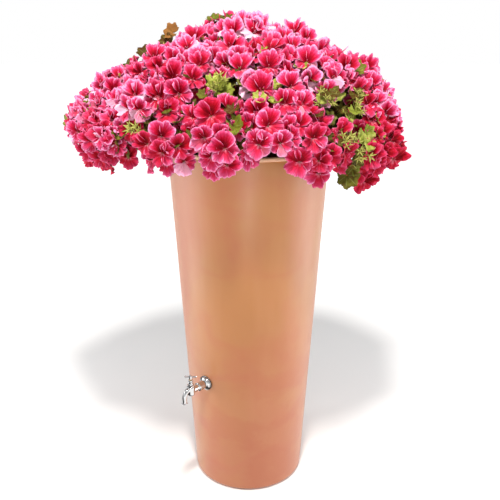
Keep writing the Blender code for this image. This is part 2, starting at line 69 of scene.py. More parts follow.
# Barrel and bowl.
RIM_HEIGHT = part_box("barrel_shell")[1].z
RIM_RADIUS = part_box("barrel_shell")[1].x
FLOOR_RADIUS = 0.1934
WALL = 0.005
BASE_ROUND = 0.016
RIM_ROUND = 0.0015
WALL_ROWS = 48
BOWL_LOW, BOWL_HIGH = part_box("planter_bowl")
BOWL_FLOOR = BOWL_LOW.z
LIP_TOP = BOWL_HIGH.z
LIP_RADIUS = BOWL_HIGH.x
LIP_ROUND = 0.0052
BOWL_WALL = 0.004
BOWL_GAP = 0.0018  # between the bowl and the barrel's wall, at the rim
BOWL_TAPER = 0.024  # the bowl's foot is this much smaller in radius than its mouth
BOWL_CORNER = 0.010
DRAIN_RADIUS = 0.020
TURN_STEPS = 256
SOIL_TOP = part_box("potting_soil")[1].z
SOIL_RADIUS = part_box("potting_soil")[1].x - 0.001
SOIL_DISH = 0.0035  # the soil lies this much lower round the wall
SOIL_CRUMB = 0.0014
SOIL_RINGS = 42
SOIL_STEPS = 144

PACKED_SLOTS = ("black_plastic", "black_rubber", "brass", "soil")  # solids that stay as packed

# Base, warm, pale and rosy tints of the two mouldings. The rosy tint, towards the barrel's foot, is
# # partly painted shade.
BARREL_TINTS = (
    (0.390, 0.149, 0.035),
    (0.390, 0.096, 0.035),
    (0.462, 0.197, 0.074),
    (0.450, 0.155, 0.068),
)
BOWL_TINTS = ((0.72, 0.40, 0.24), (0.66, 0.33, 0.19), (0.80, 0.50, 0.34), (0.72, 0.40, 0.24))

# Colour ramps, as positions and colours.
BLOTCHED_PETAL = (
    (0.08, (0.36, 0.004, 0.016)),
    (0.18, (0.12, 0.000, 0.002)),
    (0.37, (0.18, 0.000, 0.004)),
    (0.54, (0.38, 0.002, 0.016)),
    (0.67, (0.52, 0.009, 0.050)),
    (0.81, (0.64, 0.037, 0.138)),
    (0.92, (0.75, 0.110, 0.272)),
    (1.00, (0.89, 0.315, 0.540)),
)
PLAIN_PETAL = (
    (0.06, (0.85, 0.420, 0.500)),
    (0.20, (0.72, 0.130, 0.220)),
    (0.34, (0.54, 0.012, 0.042)),
    (0.56, (0.56, 0.024, 0.080)),
    (0.78, (0.63, 0.054, 0.160)),
    (0.91, (0.73, 0.132, 0.295)),
    (1.00, (0.87, 0.335, 0.550)),
)
# Leaf colours by tone: the low end is partly old leaves and partly painted shade on the deeper layer.
LEAF_AGE_AND_SHADE_TONES = (
    (0.00, (0.090, 0.025, 0.005)),
    (0.30, (0.085, 0.070, 0.006)),
    (0.58, (0.140, 0.150, 0.012)),
    (0.82, (0.250, 0.290, 0.035)),
    (1.00, (0.480, 0.490, 0.120)),
)
STALK_GREENS = (
    (0.1, (0.050, 0.055, 0.008)),
    (0.5, (0.150, 0.170, 0.022)),
    (1.0, (0.480, 0.470, 0.120)),
)
GLOW_SPAN = 4.0  # metres from the object to the far end of the ramp of the floor's painted glow
FLOOR_GLOW = ((0.32, (0.0, 0.0, 0.0)), (0.70, (0.6, 0.6, 0.6)))

# Tap. Its own frame lies on the barrel's wall: X straight out, Z up.
TAP_ANGLE = math.radians(-131)
TAP_HEIGHT = next(joint["pos_m"][2] for joint in frame["joints"] if joint["name"] == "tap_turn")
VALVE_X = 0.073
SPOUT_X = 0.103
SPOUT_OUTLET = -0.036
SPOUT_RADIUS = 0.0080
SPOUT_BORE = 0.0052
SPOUT_BEND = -0.020  # where the spout turns straight down
VALVE_BORES = ((0.0050, -0.006, 0.004), (0.0098, 0.002, 0.030))  # radius, bottom and top
CASTING_DETAIL = 0.00055
HANDLE_LEVEL = 0.0525
HANDLE_HALF = 0.020
HANDLE_BAR = 0.0024  # its radius at the hub, which grows a little towards the knobs
HANDLE_KNOB = 0.0038
TAP_STEPS = 96
REFLECTED_PANEL_SIDE = (0.55, -0.35, 0.76)  # painted reflection of a black panel: the dark bands run square to this direction

# Hose inlet, at the back.
INLET_ANGLE = math.radians(90)
INLET_HEIGHT = 0.930
INLET_BORE = 0.0125
THREAD_START = -0.0275
THREAD_PITCH = 0.0030
THREADS = 8
BARBS = (0.028, 0.036, 0.044)

# Canopy: the same oval dome with a hanging hem as the frame's foliage solids.
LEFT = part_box("pelargonium_left")[0].x
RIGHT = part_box("pelargonium_right")[1].x
CANOPY_CENTRE = Vector(((LEFT + RIGHT) / 2, 0, 0))
SIDE_REACH = (RIGHT - LEFT) / 2
FRONT_REACH = 0.430
CANOPY_TOP = 1.590
CANOPY_WIDEST = 1.250
DOME_POWER = 1.12  # 1 is a round dome, and more has flatter shoulders
DOME_SKEW = 0.06  # the left shoulder is this much flatter, and the right one rounder
HEM_TUCK = 0.12
HEM_HEIGHTS = {  # by angle: it is highest over the front, where it shows the lip
    -180: 1.110,
    -150: 1.155,
    -115: 1.185,
    -77: 1.225,
    -50: 1.150,
    -25: 1.100,
    10: 1.125,
    90: 1.130,
    150: 1.125,
    180: 1.110,
}
# Hollows in the dome: angle, rise, depth as a share of the dome's size, and breadth across and
# along it in degrees.
HOLLOWS = (
    (165, 59, 0.10, 45, 8),
    (172, 43, 0.08, 30, 9),
    (15, 54, 0.12, 45, 8),
    (0, 14, 0.05, 30, 14),
)
CROWN_EDGE = 68  # degrees up the dome, where the middle plant ends
PLANTS = {
    "front_left": -120,
    "front_right": -60,
    "right": 0,
    "rear_right": 60,
    "rear_left": 120,
    "left": 180,
}

# Flowers and leaves.
PETAL_LENGTH = 0.047
PETAL_COLUMNS = 17
PETAL_ROWS = 8
PETAL_THICKNESS = 0.0004
BLOOM_KINDS = 18
HEAD_SPACING = 0.114
HEAD_TRIES = 6000
HEAD_DEPTH = 0.062
SIDE_DEPTH = 0.018  # heads on the sides lie this much deeper than those on top
CROWN_DEPTH = 0.010  # and heads on the very top this much, so that they make a flat crown
SPENT_DEPTH = 0.066
HEAD_CLEARANCE = 0.052  # how far a head's hub stays above the hem
LEAF_CLEARANCE = 0.030
LOW_BAND = 0.055  # heads lower than this above the widest line hang in shade, and get painted shade: a higher tone that makes them deeper red
LOW_PAINTED_SHADE = 11  # painted shade: their tone rises by this much for each metre
TOP_PAINTED_SHADE = 0.24  # painted shade on heads that face straight up, against the key light on top: their tone rises by this much, which makes them deeper
HEAD_LIFT = 0.30  # heads lean up from the canopy's outward direction by this much
HEAD_FAN = 0.62  # a bloom looks this share of its stalk's tilt away from its head's axis
LOOK_SCATTER = 0.16
LOOK_FLOOR = -0.05  # blooms turn up to the light, so none looks further down than this
SUNWARD = Vector((0, -0.45, 0))  # and they turn this much towards the front, where the sun is
RING_TILT, MIDDLE_TILT = (52, 76), (0, 12)  # degrees between a bloom's stalk and its head's axis
RING_REACH, MIDDLE_REACH = (0.052, 0.068), (0.038, 0.054)  # a bloom's distance from the hub
BLOOM_SIZES = (0.78, 1.08)
BLOOM_ROLL = 36
PEDICEL = (0.0009, 0.0008)  # a bloom's stalk: radius at its foot and at its end
CALYX_DEPTH = 0.008  # from the bloom's throat back to the end of its stalk
GAP_SPACING = 0.078  # small heads that fill the gaps keep this far from the others
GAP_TRIES = 2500
LEAF_RADIUS = 0.030
LEAF_COLUMNS = 43
LEAF_ROWS = 5
LEAF_THICKNESS = 0.0005
LEAF_SPREAD = 160  # degrees each way from the tip to the cleft at the stalk
LEAF_LOBES = 7
STALK_RINGS = 7
LEAF_KINDS = 10
LEAF_TRIES = 9000
# Layers of leaves: spacing, least and greatest depth under the canopy, tone and size. The deeper
# # layer's low tone paints it darker: painted shade.
LEAF_LAYERS = ((0.046, 0.028, 0.080, 0.50, 1.0), (0.052, 0.095, 0.160, 0.12, 1.2))

# Woody stem, its forks, and the stalks of heads and leaves: radius at the foot and at the end.
STEM = (0.0120, 0.0085)
FORK = (0.0065, 0.0040)
HEAD_STALK = (0.0030, 0.0014)
LEAF_STALK = (0.0011, 0.0009)
FORKS = 5
MIDDLE_FOOT = 0.010  # how far from the barrel's axis each plant is planted
OUTER_FOOT = 0.150

# Heads that hang lowest and shape the outline as seen from the front: angle and rise on the canopy,
# and how far the head droops below it.
OUTLINE_HEADS = {
    (-93, -0.95): 0.034,
    (-118, -0.50): 0.012,
    (-150, -0.35): 0.0,
    (170, -0.90): 0.0,
    (-170, -0.45): 0.0,
    (-78, 12): 0.0,
    (-62, 2): 0.0,
    (-54, -0.60): 0.0,
    (-30, -0.72): 0.0,
    (-22, -0.25): 0.0,
}
# Heads gone to seed, where the green shows through from the front.
SPENT_HEADS = (
    (-48, 0),
    (-40, -0.45),
    (-52, 24),
    (-38, 20),
    (-99, 35),
    (-128, 8),
    (60, 30),
    (140, 20),
    (100, 50),
    (-176, 57),
)
STRAY_SWAY = Vector((0, -1.6, 0.2))  # leaves that stick out turn this way
# Those leaves: angle, rise, how far out, size, tone and dryness.
STRAY_LEAVES = (
    (176, 5, 0.002, 1.1, 0.62, 0.0),
    (172, 11, -0.002, 1.0, 0.45, 0.0),
    (-58, -0.66, -0.030, 1.2, 0.35, 0.0),
    (-43, -0.95, -0.012, 1.2, 0.35, 0.0),
    (178, 44, -0.004, 1.0, 0.25, 0.0),
    (172, 50, -0.006, 1.0, 0.15, 0.0),
    (178, 60, 0.006, 0.9, 0.10, 0.0),
    (176, 64, 0.014, 1.0, 0.50, 0.9),
    (160, 78, 0.000, 0.8, 0.50, 0.0),
    (130, 80, 0.000, 0.8, 0.45, 0.0),
)


# ---- Meshes ----


def new_piece(name, vertices, faces, material):
    """A smooth mesh object from points and from faces with equally many corners."""
    mesh = bpy.data.meshes.new(name)
    faces = np.asarray(faces, np.int32)
    count, corners = faces.shape
    mesh.vertices.add(len(vertices))
    mesh.vertices.foreach_set("co", np.asarray(vertices, np.float32).ravel())
    mesh.loops.add(count * corners)
    mesh.loops.foreach_set("vertex_index", faces.ravel())
    mesh.polygons.add(count)
    mesh.polygons.foreach_set("loop_start", np.arange(0, count * corners, corners, dtype=np.int32))
    mesh.polygons.foreach_set("use_smooth", np.full(count, True))
    mesh.update(calc_edges=True)
    mesh.materials.append(material)
    piece = bpy.data.objects.new(name, mesh)
    bpy.context.scene.collection.objects.link(piece)
    return piece


class Growth:
    """Gathers copies of small templates into one mesh. A template is its points, its quads and its
    paint: across, along, kind and tone for each point."""

    def __init__(self):
        self.points, self.faces, self.paint = [], [], []
        self.count = 0

    def add(self, template, matrix=None, tone=0.0):
        points, faces, paint = template
        if matrix is not None:
            points = points @ np.array(matrix.to_3x3()).T + np.array(matrix.translation)
        toned = paint.copy()
        toned[:, 3] += tone
        self.points.append(points)
        self.faces.append(faces + self.count)
        self.paint.append(toned)
        self.count += len(points)

    def template(self):
        return np.concatenate(self.points), np.concatenate(self.faces), np.concatenate(self.paint)

    def piece(self, name, material):
        points, faces, paint = self.template()
        made = new_piece(name, points, faces, material)
        layer = made.data.attributes.new("paint", "FLOAT_COLOR", "POINT")
        layer.data.foreach_set("color", paint.astype(np.float32).ravel())
        return made


def grid_faces(index):
    """Quads of a grid of point numbers."""
    return np.stack([index[:-1, :-1], index[:-1, 1:], index[1:, 1:], index[1:, :-1]], -1).reshape(-1, 4)


def ring_faces(index):
    """Quads between rows of point numbers whose ends join."""
    after = np.roll(index, -1, 1)
    return np.stack([index[:-1], after[:-1], after[1:], index[1:]], -1).reshape(-1, 4)


def thick_sheet(points, paint, thickness):
    """A template of a thin solid from a grid of points: two faces and the edge between them."""
    rows, columns, _ = points.shape
    normal = np.cross(np.gradient(points, axis=1), np.gradient(points, axis=0))
    normal /= np.maximum(np.linalg.norm(normal, axis=-1, keepdims=True), 1e-12)
    sides = np.concatenate([points + normal * thickness / 2, points - normal * thickness / 2])
    size = rows * columns
    index = np.arange(size).reshape(rows, columns)
    rim = np.concatenate([index[0], index[1:, -1], index[-1, -2::-1], index[-2:0:-1, 0]])
    after = np.roll(rim, -1)
    edge = np.stack([rim, rim + size, after + size, after], -1)
    faces = grid_faces(index)
    flat = paint.reshape(-1, 4)
    return (
        sides.reshape(-1, 3),
        np.concatenate([faces, faces[:, ::-1] + size, edge]),
        np.concatenate([flat, flat]),
    )


def rod(rings, paint):
    """A template of a closed bar through rings of 4 or 6 points."""
    rows, sides, _ = rings.shape
    index = np.arange(rows * sides).reshape(rows, sides)
    halves = np.array([[0, 1, 2, 3]] if sides == 4 else [[0, 1, 2, 3], [0, 3, 4, 5]])
    faces = np.concatenate([ring_faces(index), index[0][halves][:, ::-1], index[-1][halves]])
    return rings.reshape(-1, 3), faces, np.tile(np.array(paint, float), (rows * sides, 1))


def stacked_rings(radii, heights, sides):
    """Rings about Z, for a rod."""
    turns = np.arange(sides) * 2 * np.pi / sides
    rings = np.zeros((len(radii), sides, 3))
    rings[..., 0] = np.asarray(radii)[:, None] * np.cos(turns)
    rings[..., 1] = np.asarray(radii)[:, None] * np.sin(turns)
    rings[..., 2] = np.asarray(heights)[:, None]
    return rings


def sharpen(piece, degrees=32):
    """Outward normals, smooth faces, and sharp edges where the surface turns by more than this."""
    mesh = piece.data
    bpy.context.view_layer.objects.active = piece
    piece.select_set(True)
    bpy.ops.object.mode_set(mode="EDIT")
    bpy.ops.mesh.select_all(action="SELECT")
    bpy.ops.mesh.normals_make_consistent(inside=False)
    bpy.ops.object.mode_set(mode="OBJECT")
    piece.select_set(False)
    mesh.shade_smooth()
    mesh.set_sharp_from_angle(angle=math.radians(degrees))
    return piece


def arc(centre_radius, centre_height, radius, start, end, pieces=8):
    """Outline points on an arc, its angles in degrees from the outward direction."""
    angles = [math.radians(start + (end - start) * i / pieces) for i in range(pieces + 1)]
    return [(centre_radius + radius * math.cos(a), centre_height + radius * math.sin(a)) for a in angles]


def turned(name, outline, material, steps=TURN_STEPS, closed=True):
    """A solid turned about Z from (radius, height) points. A closed outline has a hole along the
    axis, and an open one ends on the axis."""
    if not closed:
        outline = [(1e-5, outline[0][1])] + outline + [(1e-5, outline[-1][1])]
    radii = [radius for radius, _ in outline]
    heights = [height for _, height in outline]
    points = stacked_rings(radii, heights, steps)
    index = np.arange(len(outline) * steps).reshape(-1, steps)
    if closed:
        index = np.concatenate([index, index[:1]])
    return sharpen(new_piece(name, points.reshape(-1, 3), ring_faces(index), material))


def swept(name, path, radii, material, sides=48):
    """A round bar along a path in the XZ plane, closed by a small cap at each end."""
    path = [path[0]] + list(path) + [path[-1]]
    radii = [1e-5] + list(radii) + [1e-5]
    turns = np.arange(sides) * 2 * np.pi / sides
    points = []
    for i, (point, radius) in enumerate(zip(path, radii)):
        along = (path[min(i + 2, len(path) - 1)] - path[max(i - 2, 0)]).normalized()
        across = Vector((0, 1, 0))
        other = along.cross(across)
        for turn in turns:
            points.append(point + radius * (math.cos(turn) * across + math.sin(turn) * other))
    index = np.arange(len(points)).reshape(-1, sides)
    return sharpen(new_piece(name, [tuple(point) for point in points], ring_faces(index), material))


def plug(radius, bottom, top, material):
    """A plain cylinder about Z, for cutting a bore."""
    return turned("plug", [(radius, bottom), (radius, top)], material, 48, closed=False)


def shift(x=0.0, z=0.0):
    """A move along X and Z."""
    return Matrix.Translation((x, 0, z))


def apply_modifiers(piece):
    """Makes the piece's evaluated mesh its own."""
    graph = bpy.context.evaluated_depsgraph_get()
    mesh = bpy.data.meshes.new_from_object(piece.evaluated_get(graph))
    piece.modifiers.clear()
    piece.data = mesh


def combine(target, other, operation):
    """A Boolean of target with other, which is removed."""
    modifier = target.modifiers.new(operation, "BOOLEAN")
    modifier.operation = operation
    modifier.object = other
    modifier.solver = "EXACT"
    apply_modifiers(target)
    bpy.data.objects.remove(other)
    return target


def place(piece, matrix):
    """Moves a piece's mesh, so that its object stays at the origin."""
    piece.data.transform(matrix)
    return piece


def stands_for(piece, body, slot, *nodes):
    """The piece rides on its body and replaces these nodes. slot is not used."""
    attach(piece, body)
    if nodes:
        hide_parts(*nodes)
    return piece


# ---- Materials ----


class Signal:
    """What a node gives out. Arithmetic on it adds more nodes."""

    def __init__(self, nodes, socket):
        self.nodes = nodes
        self.socket = socket

    def __add__(self, other):
        return self.nodes.math("ADD", self, other)

    def __sub__(self, other):
        return self.nodes.math("SUBTRACT", self, other)

    def __mul__(self, other):
        return self.nodes.math("MULTIPLY", self, other)

    def __abs__(self):
        return self.nodes.math("ABSOLUTE", self)

    def sine(self):
        return self.nodes.math("SINE", self)

    def step(self, low, high):
        """0 below low, 1 above high and a smooth step between."""
        inputs = {"Value": self, "From Min": low, "From Max": high}
        return self.nodes.add("MapRange", "Result", inputs, interpolation_type="SMOOTHSTEP")


class Nodes:
    """A material and short calls for its node tree. A value is a number, a colour or a Signal."""

    def __init__(self, name, roughness, metallic=0.0, **settings):
        self.material = bpy.data.materials.new(name)
        self.material.use_nodes = True
        self.tree = self.material.node_tree
        self.shader = self.tree.nodes["Principled BSDF"].inputs
        for socket, value in {"Roughness": roughness, "Metallic": metallic, **settings}.items():
            self.shader[socket.replace("_", " ")].default_value = value

    def feed(self, socket, value):
        if isinstance(value, Signal):
            self.tree.links.new(value.socket, socket)
        else:
            socket.default_value = value

    def add(self, kind, output, inputs, **settings):
        """One output of a new node."""
        node = self.tree.nodes.new("ShaderNode" + kind)
        for name, value in settings.items():
            setattr(node, name, value)
        for name, value in inputs.items():
            self.feed(node.inputs[name], value)
        return Signal(self, node.outputs[output])

    def math(self, operation, first, second=0.0):
        return self.add("Math", 0, {0: first, 1: second}, operation=operation)

    def mix(self, share, first, second, blend="MIX"):
        colours = [(*value, 1.0) if isinstance(value, tuple) else value for value in (first, second)]
        inputs = dict(zip((0, 6, 7), (share, *colours)))
        return self.add("Mix", 2, inputs, data_type="RGBA", blend_type=blend)

    def ramp(self, value, stops):
        """A colour ramp through (position, colour) stops."""
        result = self.add("ValToRGB", "Color", {"Fac": value})
        elements = result.socket.node.color_ramp.elements
        while len(elements) < len(stops):
            elements.new(0.5)
        for element, (position, colour) in zip(elements, stops):
            element.position = position
            element.color = (*colour, 1.0)
        return result

    def place(self, stretch=(1, 1, 1)):
        """The point on the piece, in metres."""
        where = self.add("TexCoord", "Object", {})
        return self.add("Mapping", "Vector", {"Vector": where, "Scale": stretch})

    def noise(self, scale, detail=3.0, stretch=(1, 1, 1)):
        inputs = {"Vector": self.place(stretch), "Scale": scale, "Detail": detail}
        return self.add("TexNoise", "Fac", inputs)

    def cells(self, scale):
        return self.add("TexVoronoi", "Distance", {"Vector": self.place(), "Scale": scale})

    def paint(self):
        """The growth's across, along, kind and tone."""
        colour = self.add("Attribute", "Color", {}, attribute_name="paint")
        tone = colour.socket.node.outputs["Alpha"]
        parts = self.add("SeparateColor", 0, {"Color": colour}).socket.node.outputs
        return [Signal(self, socket) for socket in (*parts, tone)]

    def bump(self, height, distance, strength):
        inputs = {"Height": height, "Distance": distance, "Strength": strength}
        self.feed(self.shader["Normal"], self.add("Bump", "Normal", inputs))

    def colour(self, value):
        self.feed(self.shader["Base Color"], value)

    def roughness(self, value):
        self.feed(self.shader["Roughness"], value)

    def wear(self, worn, fresh, dull, least, more):
        """Colour and roughness that run from fresh to dull."""
        self.colour(self.mix(worn, fresh, dull))
        self.roughness(worn * more + least)


def terracotta_material(name, base, warm, pale, rosy, roughness):
    """Rotationally moulded plastic: satin, with cloudy mottling, upright drifts, soft swirls and a
    fine grain, and a little rosier and blotchier towards the foot. That change at the foot is partly
    the moulding's own colour and partly painted shade, which evens out the floor's bounced light."""
    nodes = Nodes(name, roughness, Specular_IOR_Level=0.55, Sheen_Weight=0.22, Sheen_Roughness=0.5)
    clouds = nodes.noise(3.2, 4.0, (1, 1, 0.6)).step(0.42, 0.60)
    drifts = nodes.noise(7.0, 3.0, (1, 1, 0.14)).step(0.42, 0.70)
    swirls = abs(nodes.noise(2.6, 2.0, (1, 1, 1.5)) - 0.5).step(0.055, 0.0)
    blushes = nodes.noise(6.0, 4.0, (1, 1, 1.3)).step(0.47, 0.60)
    specks = nodes.noise(240.0, 2.0).step(0.55, 0.80)
    # Partly painted shade: this mask shifts the colour towards the foot, against the floor's bounced light on the
    # lower wall.
    foot = nodes.add("SeparateXYZ", "Z", {"Vector": nodes.place()}).step(0.75, 0.25)
    layers = (
        (clouds * 0.75, warm),
        (drifts * 0.50, pale),
        (swirls * (foot * 0.40 + 0.20), warm),
        (foot * 0.40, rosy),
        (blushes * foot * 0.42, warm),
        (specks * 0.10, warm),
    )
    colour = base
    for share, tint in layers:
        colour = nodes.mix(share, colour, tint)
    nodes.colour(colour)
    nodes.roughness(clouds * 0.10 + (roughness - 0.05))
    nodes.bump(nodes.noise(420.0) + nodes.noise(28.0, 2.0) * 2.5, 0.00025, 0.55)
    return nodes.material


def chrome_material():
    """Polished chrome plate, with faint water marks, a slight cast ripple, and a painted reflection: a
    dark band along one side of each round, as a black panel beside the tap would give."""
    nodes = Nodes("tap_chrome", 0.10, 1.0)
    marks = nodes.noise(160.0, 4.0).step(0.52, 0.75)
    normal = nodes.add("TexCoord", "Normal", {})
    panel = nodes.add("VectorMath", "Value", {0: normal, 1: REFLECTED_PANEL_SIDE}, operation="DOT_PRODUCT")
    facing = panel + (nodes.noise(60.0) - 0.5) * 0.3
    # Painted reflection: where the surface turns square to the panel's direction it is painted near black.
    painted_reflection = facing.step(-0.30, -0.12) * facing.step(0.36, 0.20)
    colour = nodes.mix(marks * 0.5, (0.68, 0.68, 0.69), (0.48, 0.47, 0.45))
    nodes.colour(nodes.mix(painted_reflection * 0.97, colour, (0.010, 0.010, 0.012)))
    nodes.roughness(marks * 0.22 + 0.07)
    nodes.bump(nodes.noise(110.0, 2.0), 0.0004, 0.25)
    return nodes.material


def brass_material():
    """Turned brass, a little dull, with fine turning marks."""
    nodes = Nodes("valve_brass", 0.3, 1.0)
    tarnish = nodes.noise(190.0, 4.0).step(0.42, 0.72)
    nodes.wear(tarnish, (0.68, 0.47, 0.17), (0.40, 0.26, 0.10), 0.24, 0.25)
    nodes.bump(nodes.noise(900.0, 2.0, (1, 1, 4)), 0.00012, 0.5)
    return nodes.material


def rubber_material():
    """Matt black rubber with a dusty bloom."""
    nodes = Nodes("seal_rubber", 0.8)
    dust = nodes.noise(130.0, 4.0).step(0.45, 0.8)
    nodes.wear(dust, (0.012, 0.012, 0.012), (0.05, 0.046, 0.042), 0.7, 0.15)
    nodes.bump(nodes.noise(1200.0, 2.0), 0.0001, 0.4)
    return nodes.material


def black_plastic_material():
    """Moulded black plastic with a spark-eroded grain."""
    nodes = Nodes("moulded_black_plastic", 0.45)
    scuffs = nodes.noise(60.0, 5.0).step(0.5, 0.8)
    nodes.wear(scuffs, (0.016, 0.016, 0.017), (0.045, 0.043, 0.04), 0.38, 0.2)
    nodes.bump(nodes.cells(1800.0), 0.0001, 0.35)
    return nodes.material


def soil_material():
    """Moist bark and peat, in crumbs."""
    nodes = Nodes("potting_soil", 0.95)
    crumbs = nodes.cells(150.0)
    bark = nodes.noise(90.0, 5.0).step(0.35, 0.75)
    colour = nodes.mix(bark, (0.020, 0.012, 0.007), (0.085, 0.045, 0.022))
    nodes.colour(nodes.mix(crumbs.step(0.0, 0.5), (0.012, 0.008, 0.005), colour))
    nodes.bump(crumbs + nodes.noise(300.0, 4.0), 0.004, 0.8)
    return nodes.material


def petal_material():
    """Regal pelargonium petals. Upper petals carry a dark crimson blotch in a pink margin, and lower
    ones run from a pale throat through red to a pale edge. The palest blooms have near-white lower
    petals, and blooms with a high tone are a deeper red. A high tone is partly the bloom's own colour
    and partly painted shade, on low heads and on heads facing up."""
    nodes = Nodes("pelargonium_petals", 0.55, Specular_IOR_Level=0.08)
    across, along, upper, tone = nodes.paint()
    middle = across - 0.5
    blur = (nodes.noise(150.0) - 0.5) * 0.26
    feather = (across * 62.0).sine() * 0.028
    reach = (along + middle * middle * 0.75) + (blur + feather) - tone * 0.16
    colour = nodes.mix(upper, nodes.ramp(reach, PLAIN_PETAL), nodes.ramp(reach, BLOTCHED_PETAL))
    veins = ((across + blur) * 80.0).sine().step(0.4, 1.0) * reach.step(0.80, 0.30)
    colour = nodes.mix(veins * 0.60, colour, (0.50, 0.0, 0.04))
    pale = tone.step(0.02, -0.40) * upper.step(1.0, 0.0)
    colour = nodes.mix(pale * 0.78, colour, (0.97, 0.70, 0.86))
    # Deeper red for a high tone: partly the bloom's own colour, partly painted shade on low and upward-facing
    # heads.
    deep_and_shaded = tone.step(0.10, 0.75)
    nodes.colour(nodes.mix(deep_and_shaded * 0.75, colour, (0.82, 0.27, 0.32), "MULTIPLY"))
    crinkles = (across * 30.0 + blur * 30.0).sine() * along.step(0.2, 0.9)
    nodes.bump(veins * 0.25 + crinkles, 0.0010, 0.7)
    return nodes.material


def leaf_material():
    """Pelargonium leaves: yellow green to olive, with paler ribs running out to the lobes. The darkest
    tones are partly the leaves' own age and partly painted shade on the deeper layer.
    """
    nodes = Nodes("pelargonium_leaves", 0.60, Specular_IOR_Level=0.15)
    across, along, dry, tone = nodes.paint()
    lobes = abs(((across - 0.5) * 19.6).sine())
    ribs = lobes.step(0.20, 0.02) * along.step(1.0, 0.6)
    patches = nodes.noise(70.0, 4.0)
    colour = nodes.ramp(tone + (patches - 0.5) * 0.9, LEAF_AGE_AND_SHADE_TONES)
    colour = nodes.mix(ribs * 0.45, colour, (0.34, 0.40, 0.12))
    edge = along.step(0.82, 1.0) * patches.step(0.5, 0.7)
    colour = nodes.mix(edge * 0.5, colour, (0.25, 0.10, 0.03))
    nodes.colour(nodes.mix(dry, colour, (0.30, 0.12, 0.03)))
    nodes.bump(ribs * -1.0 + nodes.noise(260.0), 0.0010, 0.6)
    return nodes.material


def stalk_material():
    """Hairy green stalks that turn brown and woody near the soil, and pink-tipped buds."""
    nodes = Nodes("pelargonium_stalks", 0.65, Specular_IOR_Level=0.15)
    _, along, woody, tone = nodes.paint()
    green = nodes.ramp(tone + nodes.noise(90.0, 4.0) * 0.8, STALK_GREENS)
    bark = nodes.mix(nodes.noise(240.0, 4.0), (0.07, 0.035, 0.015), (0.24, 0.14, 0.07))
    colour = nodes.mix(woody.step(0.2, 0.8), green, bark)
    nodes.colour(nodes.mix(along.step(0.66, 0.82), colour, (0.80, 0.06, 0.22)))
    nodes.bump(nodes.noise(700.0, 3.0, (1, 1, 0.3)), 0.0008, 0.6)
    return nodes.material


def floor_material():
    """A white studio floor with painted light: it glows a little away from the object, as a lit sweep does."""
    nodes = Nodes("studio_floor", 0.9, Specular_IOR_Level=0.1, Emission_Strength=1.0)
    nodes.colour(nodes.mix(nodes.noise(2.0), (0.93, 0.93, 0.93), (0.96, 0.96, 0.96)))
    distance = nodes.add("VectorMath", "Value", {0: nodes.place()}, operation="LENGTH")
    nodes.feed(nodes.shader["Emission Color"], nodes.ramp(distance * (1 / GLOW_SPAN), FLOOR_GLOW))
    return nodes.material


# ---- Barrel, bowl and soil ----


def wall_radius(height):
    """The barrel's outer radius at this height: its wall is a straight cone."""
    return FLOOR_RADIUS + (RIM_RADIUS - FLOOR_RADIUS) * height / RIM_HEIGHT


def make_barrel(material):
    """The barrel, with a rounded foot inside and out and a softened rim."""
    inner_round = BASE_ROUND - WALL / 2
    corner = wall_radius(BASE_ROUND) - BASE_ROUND
    inner_corner = wall_radius(BASE_ROUND) - WALL - inner_round
    wall_height = RIM_HEIGHT - RIM_ROUND - BASE_ROUND
    heights = [BASE_ROUND + wall_height * row / WALL_ROWS for row in range(1, WALL_ROWS)]
    outline = arc(corner, BASE_ROUND, BASE_ROUND, -90, 0, 12)
    outline += [(wall_radius(height), height) for height in heights]
    outline += arc(RIM_RADIUS - RIM_ROUND, RIM_HEIGHT - RIM_ROUND, RIM_ROUND, 0, 90, 4)
    outline += arc(RIM_RADIUS - WALL + RIM_ROUND, RIM_HEIGHT - RIM_ROUND, RIM_ROUND, 90, 180, 4)
    outline += [(wall_radius(height) - WALL, height) for height in reversed(heights)]
    outline += arc(inner_corner, WALL + inner_round, inner_round, 0, -90, 10)
    barrel = turned("barrel_moulding", outline, material, closed=False)
    return stands_for(barrel, "barrel", "terracotta_plastic", "barrel_shell")


def bowl_radius(height):
    """The inside of the bowl's tapered wall."""
    rim = RIM_RADIUS - WALL - BOWL_GAP - BOWL_WALL
    return rim - BOWL_TAPER * (LIP_TOP - height) / (LIP_TOP - BOWL_FLOOR)


def make_bowl(material):
    """The planter bowl: its lip is one soft roll that runs on from the barrel's wall."""
    lip_bottom = RIM_HEIGHT + 0.0004
    lip_centre = LIP_RADIUS - LIP_ROUND
    inner_corner = bowl_radius(BOWL_FLOOR + BOWL_WALL + BOWL_CORNER) - BOWL_CORNER
    outer_round = BOWL_CORNER + BOWL_WALL / 2
    outer_corner = bowl_radius(BOWL_FLOOR + BOWL_CORNER) + BOWL_WALL / 2 - BOWL_CORNER
    outline = [(DRAIN_RADIUS, BOWL_FLOOR + BOWL_WALL)]
    outline += arc(inner_corner, BOWL_FLOOR + BOWL_WALL + BOWL_CORNER, BOWL_CORNER, -90, 0)
    outline += arc(bowl_radius(LIP_TOP) + 0.003, LIP_TOP - 0.003, 0.003, 180, 90)
    outline += arc(lip_centre, LIP_TOP - LIP_ROUND, LIP_ROUND, 90, 0, 12)
    outline += arc(LIP_RADIUS - 0.003, lip_bottom + 0.003, 0.003, 0, -90)
    outline += arc(bowl_radius(lip_bottom) + BOWL_WALL + 0.0012, lip_bottom - 0.0012, 0.0012, 90, 180, 4)
    outline += arc(outer_corner, BOWL_FLOOR + outer_round, outer_round, 0, -90)
    outline += [(DRAIN_RADIUS, BOWL_FLOOR)]
    bowl = turned("bowl_moulding", outline, material)
    return stands_for(bowl, "planter", "bowl_plastic", "planter_bowl")


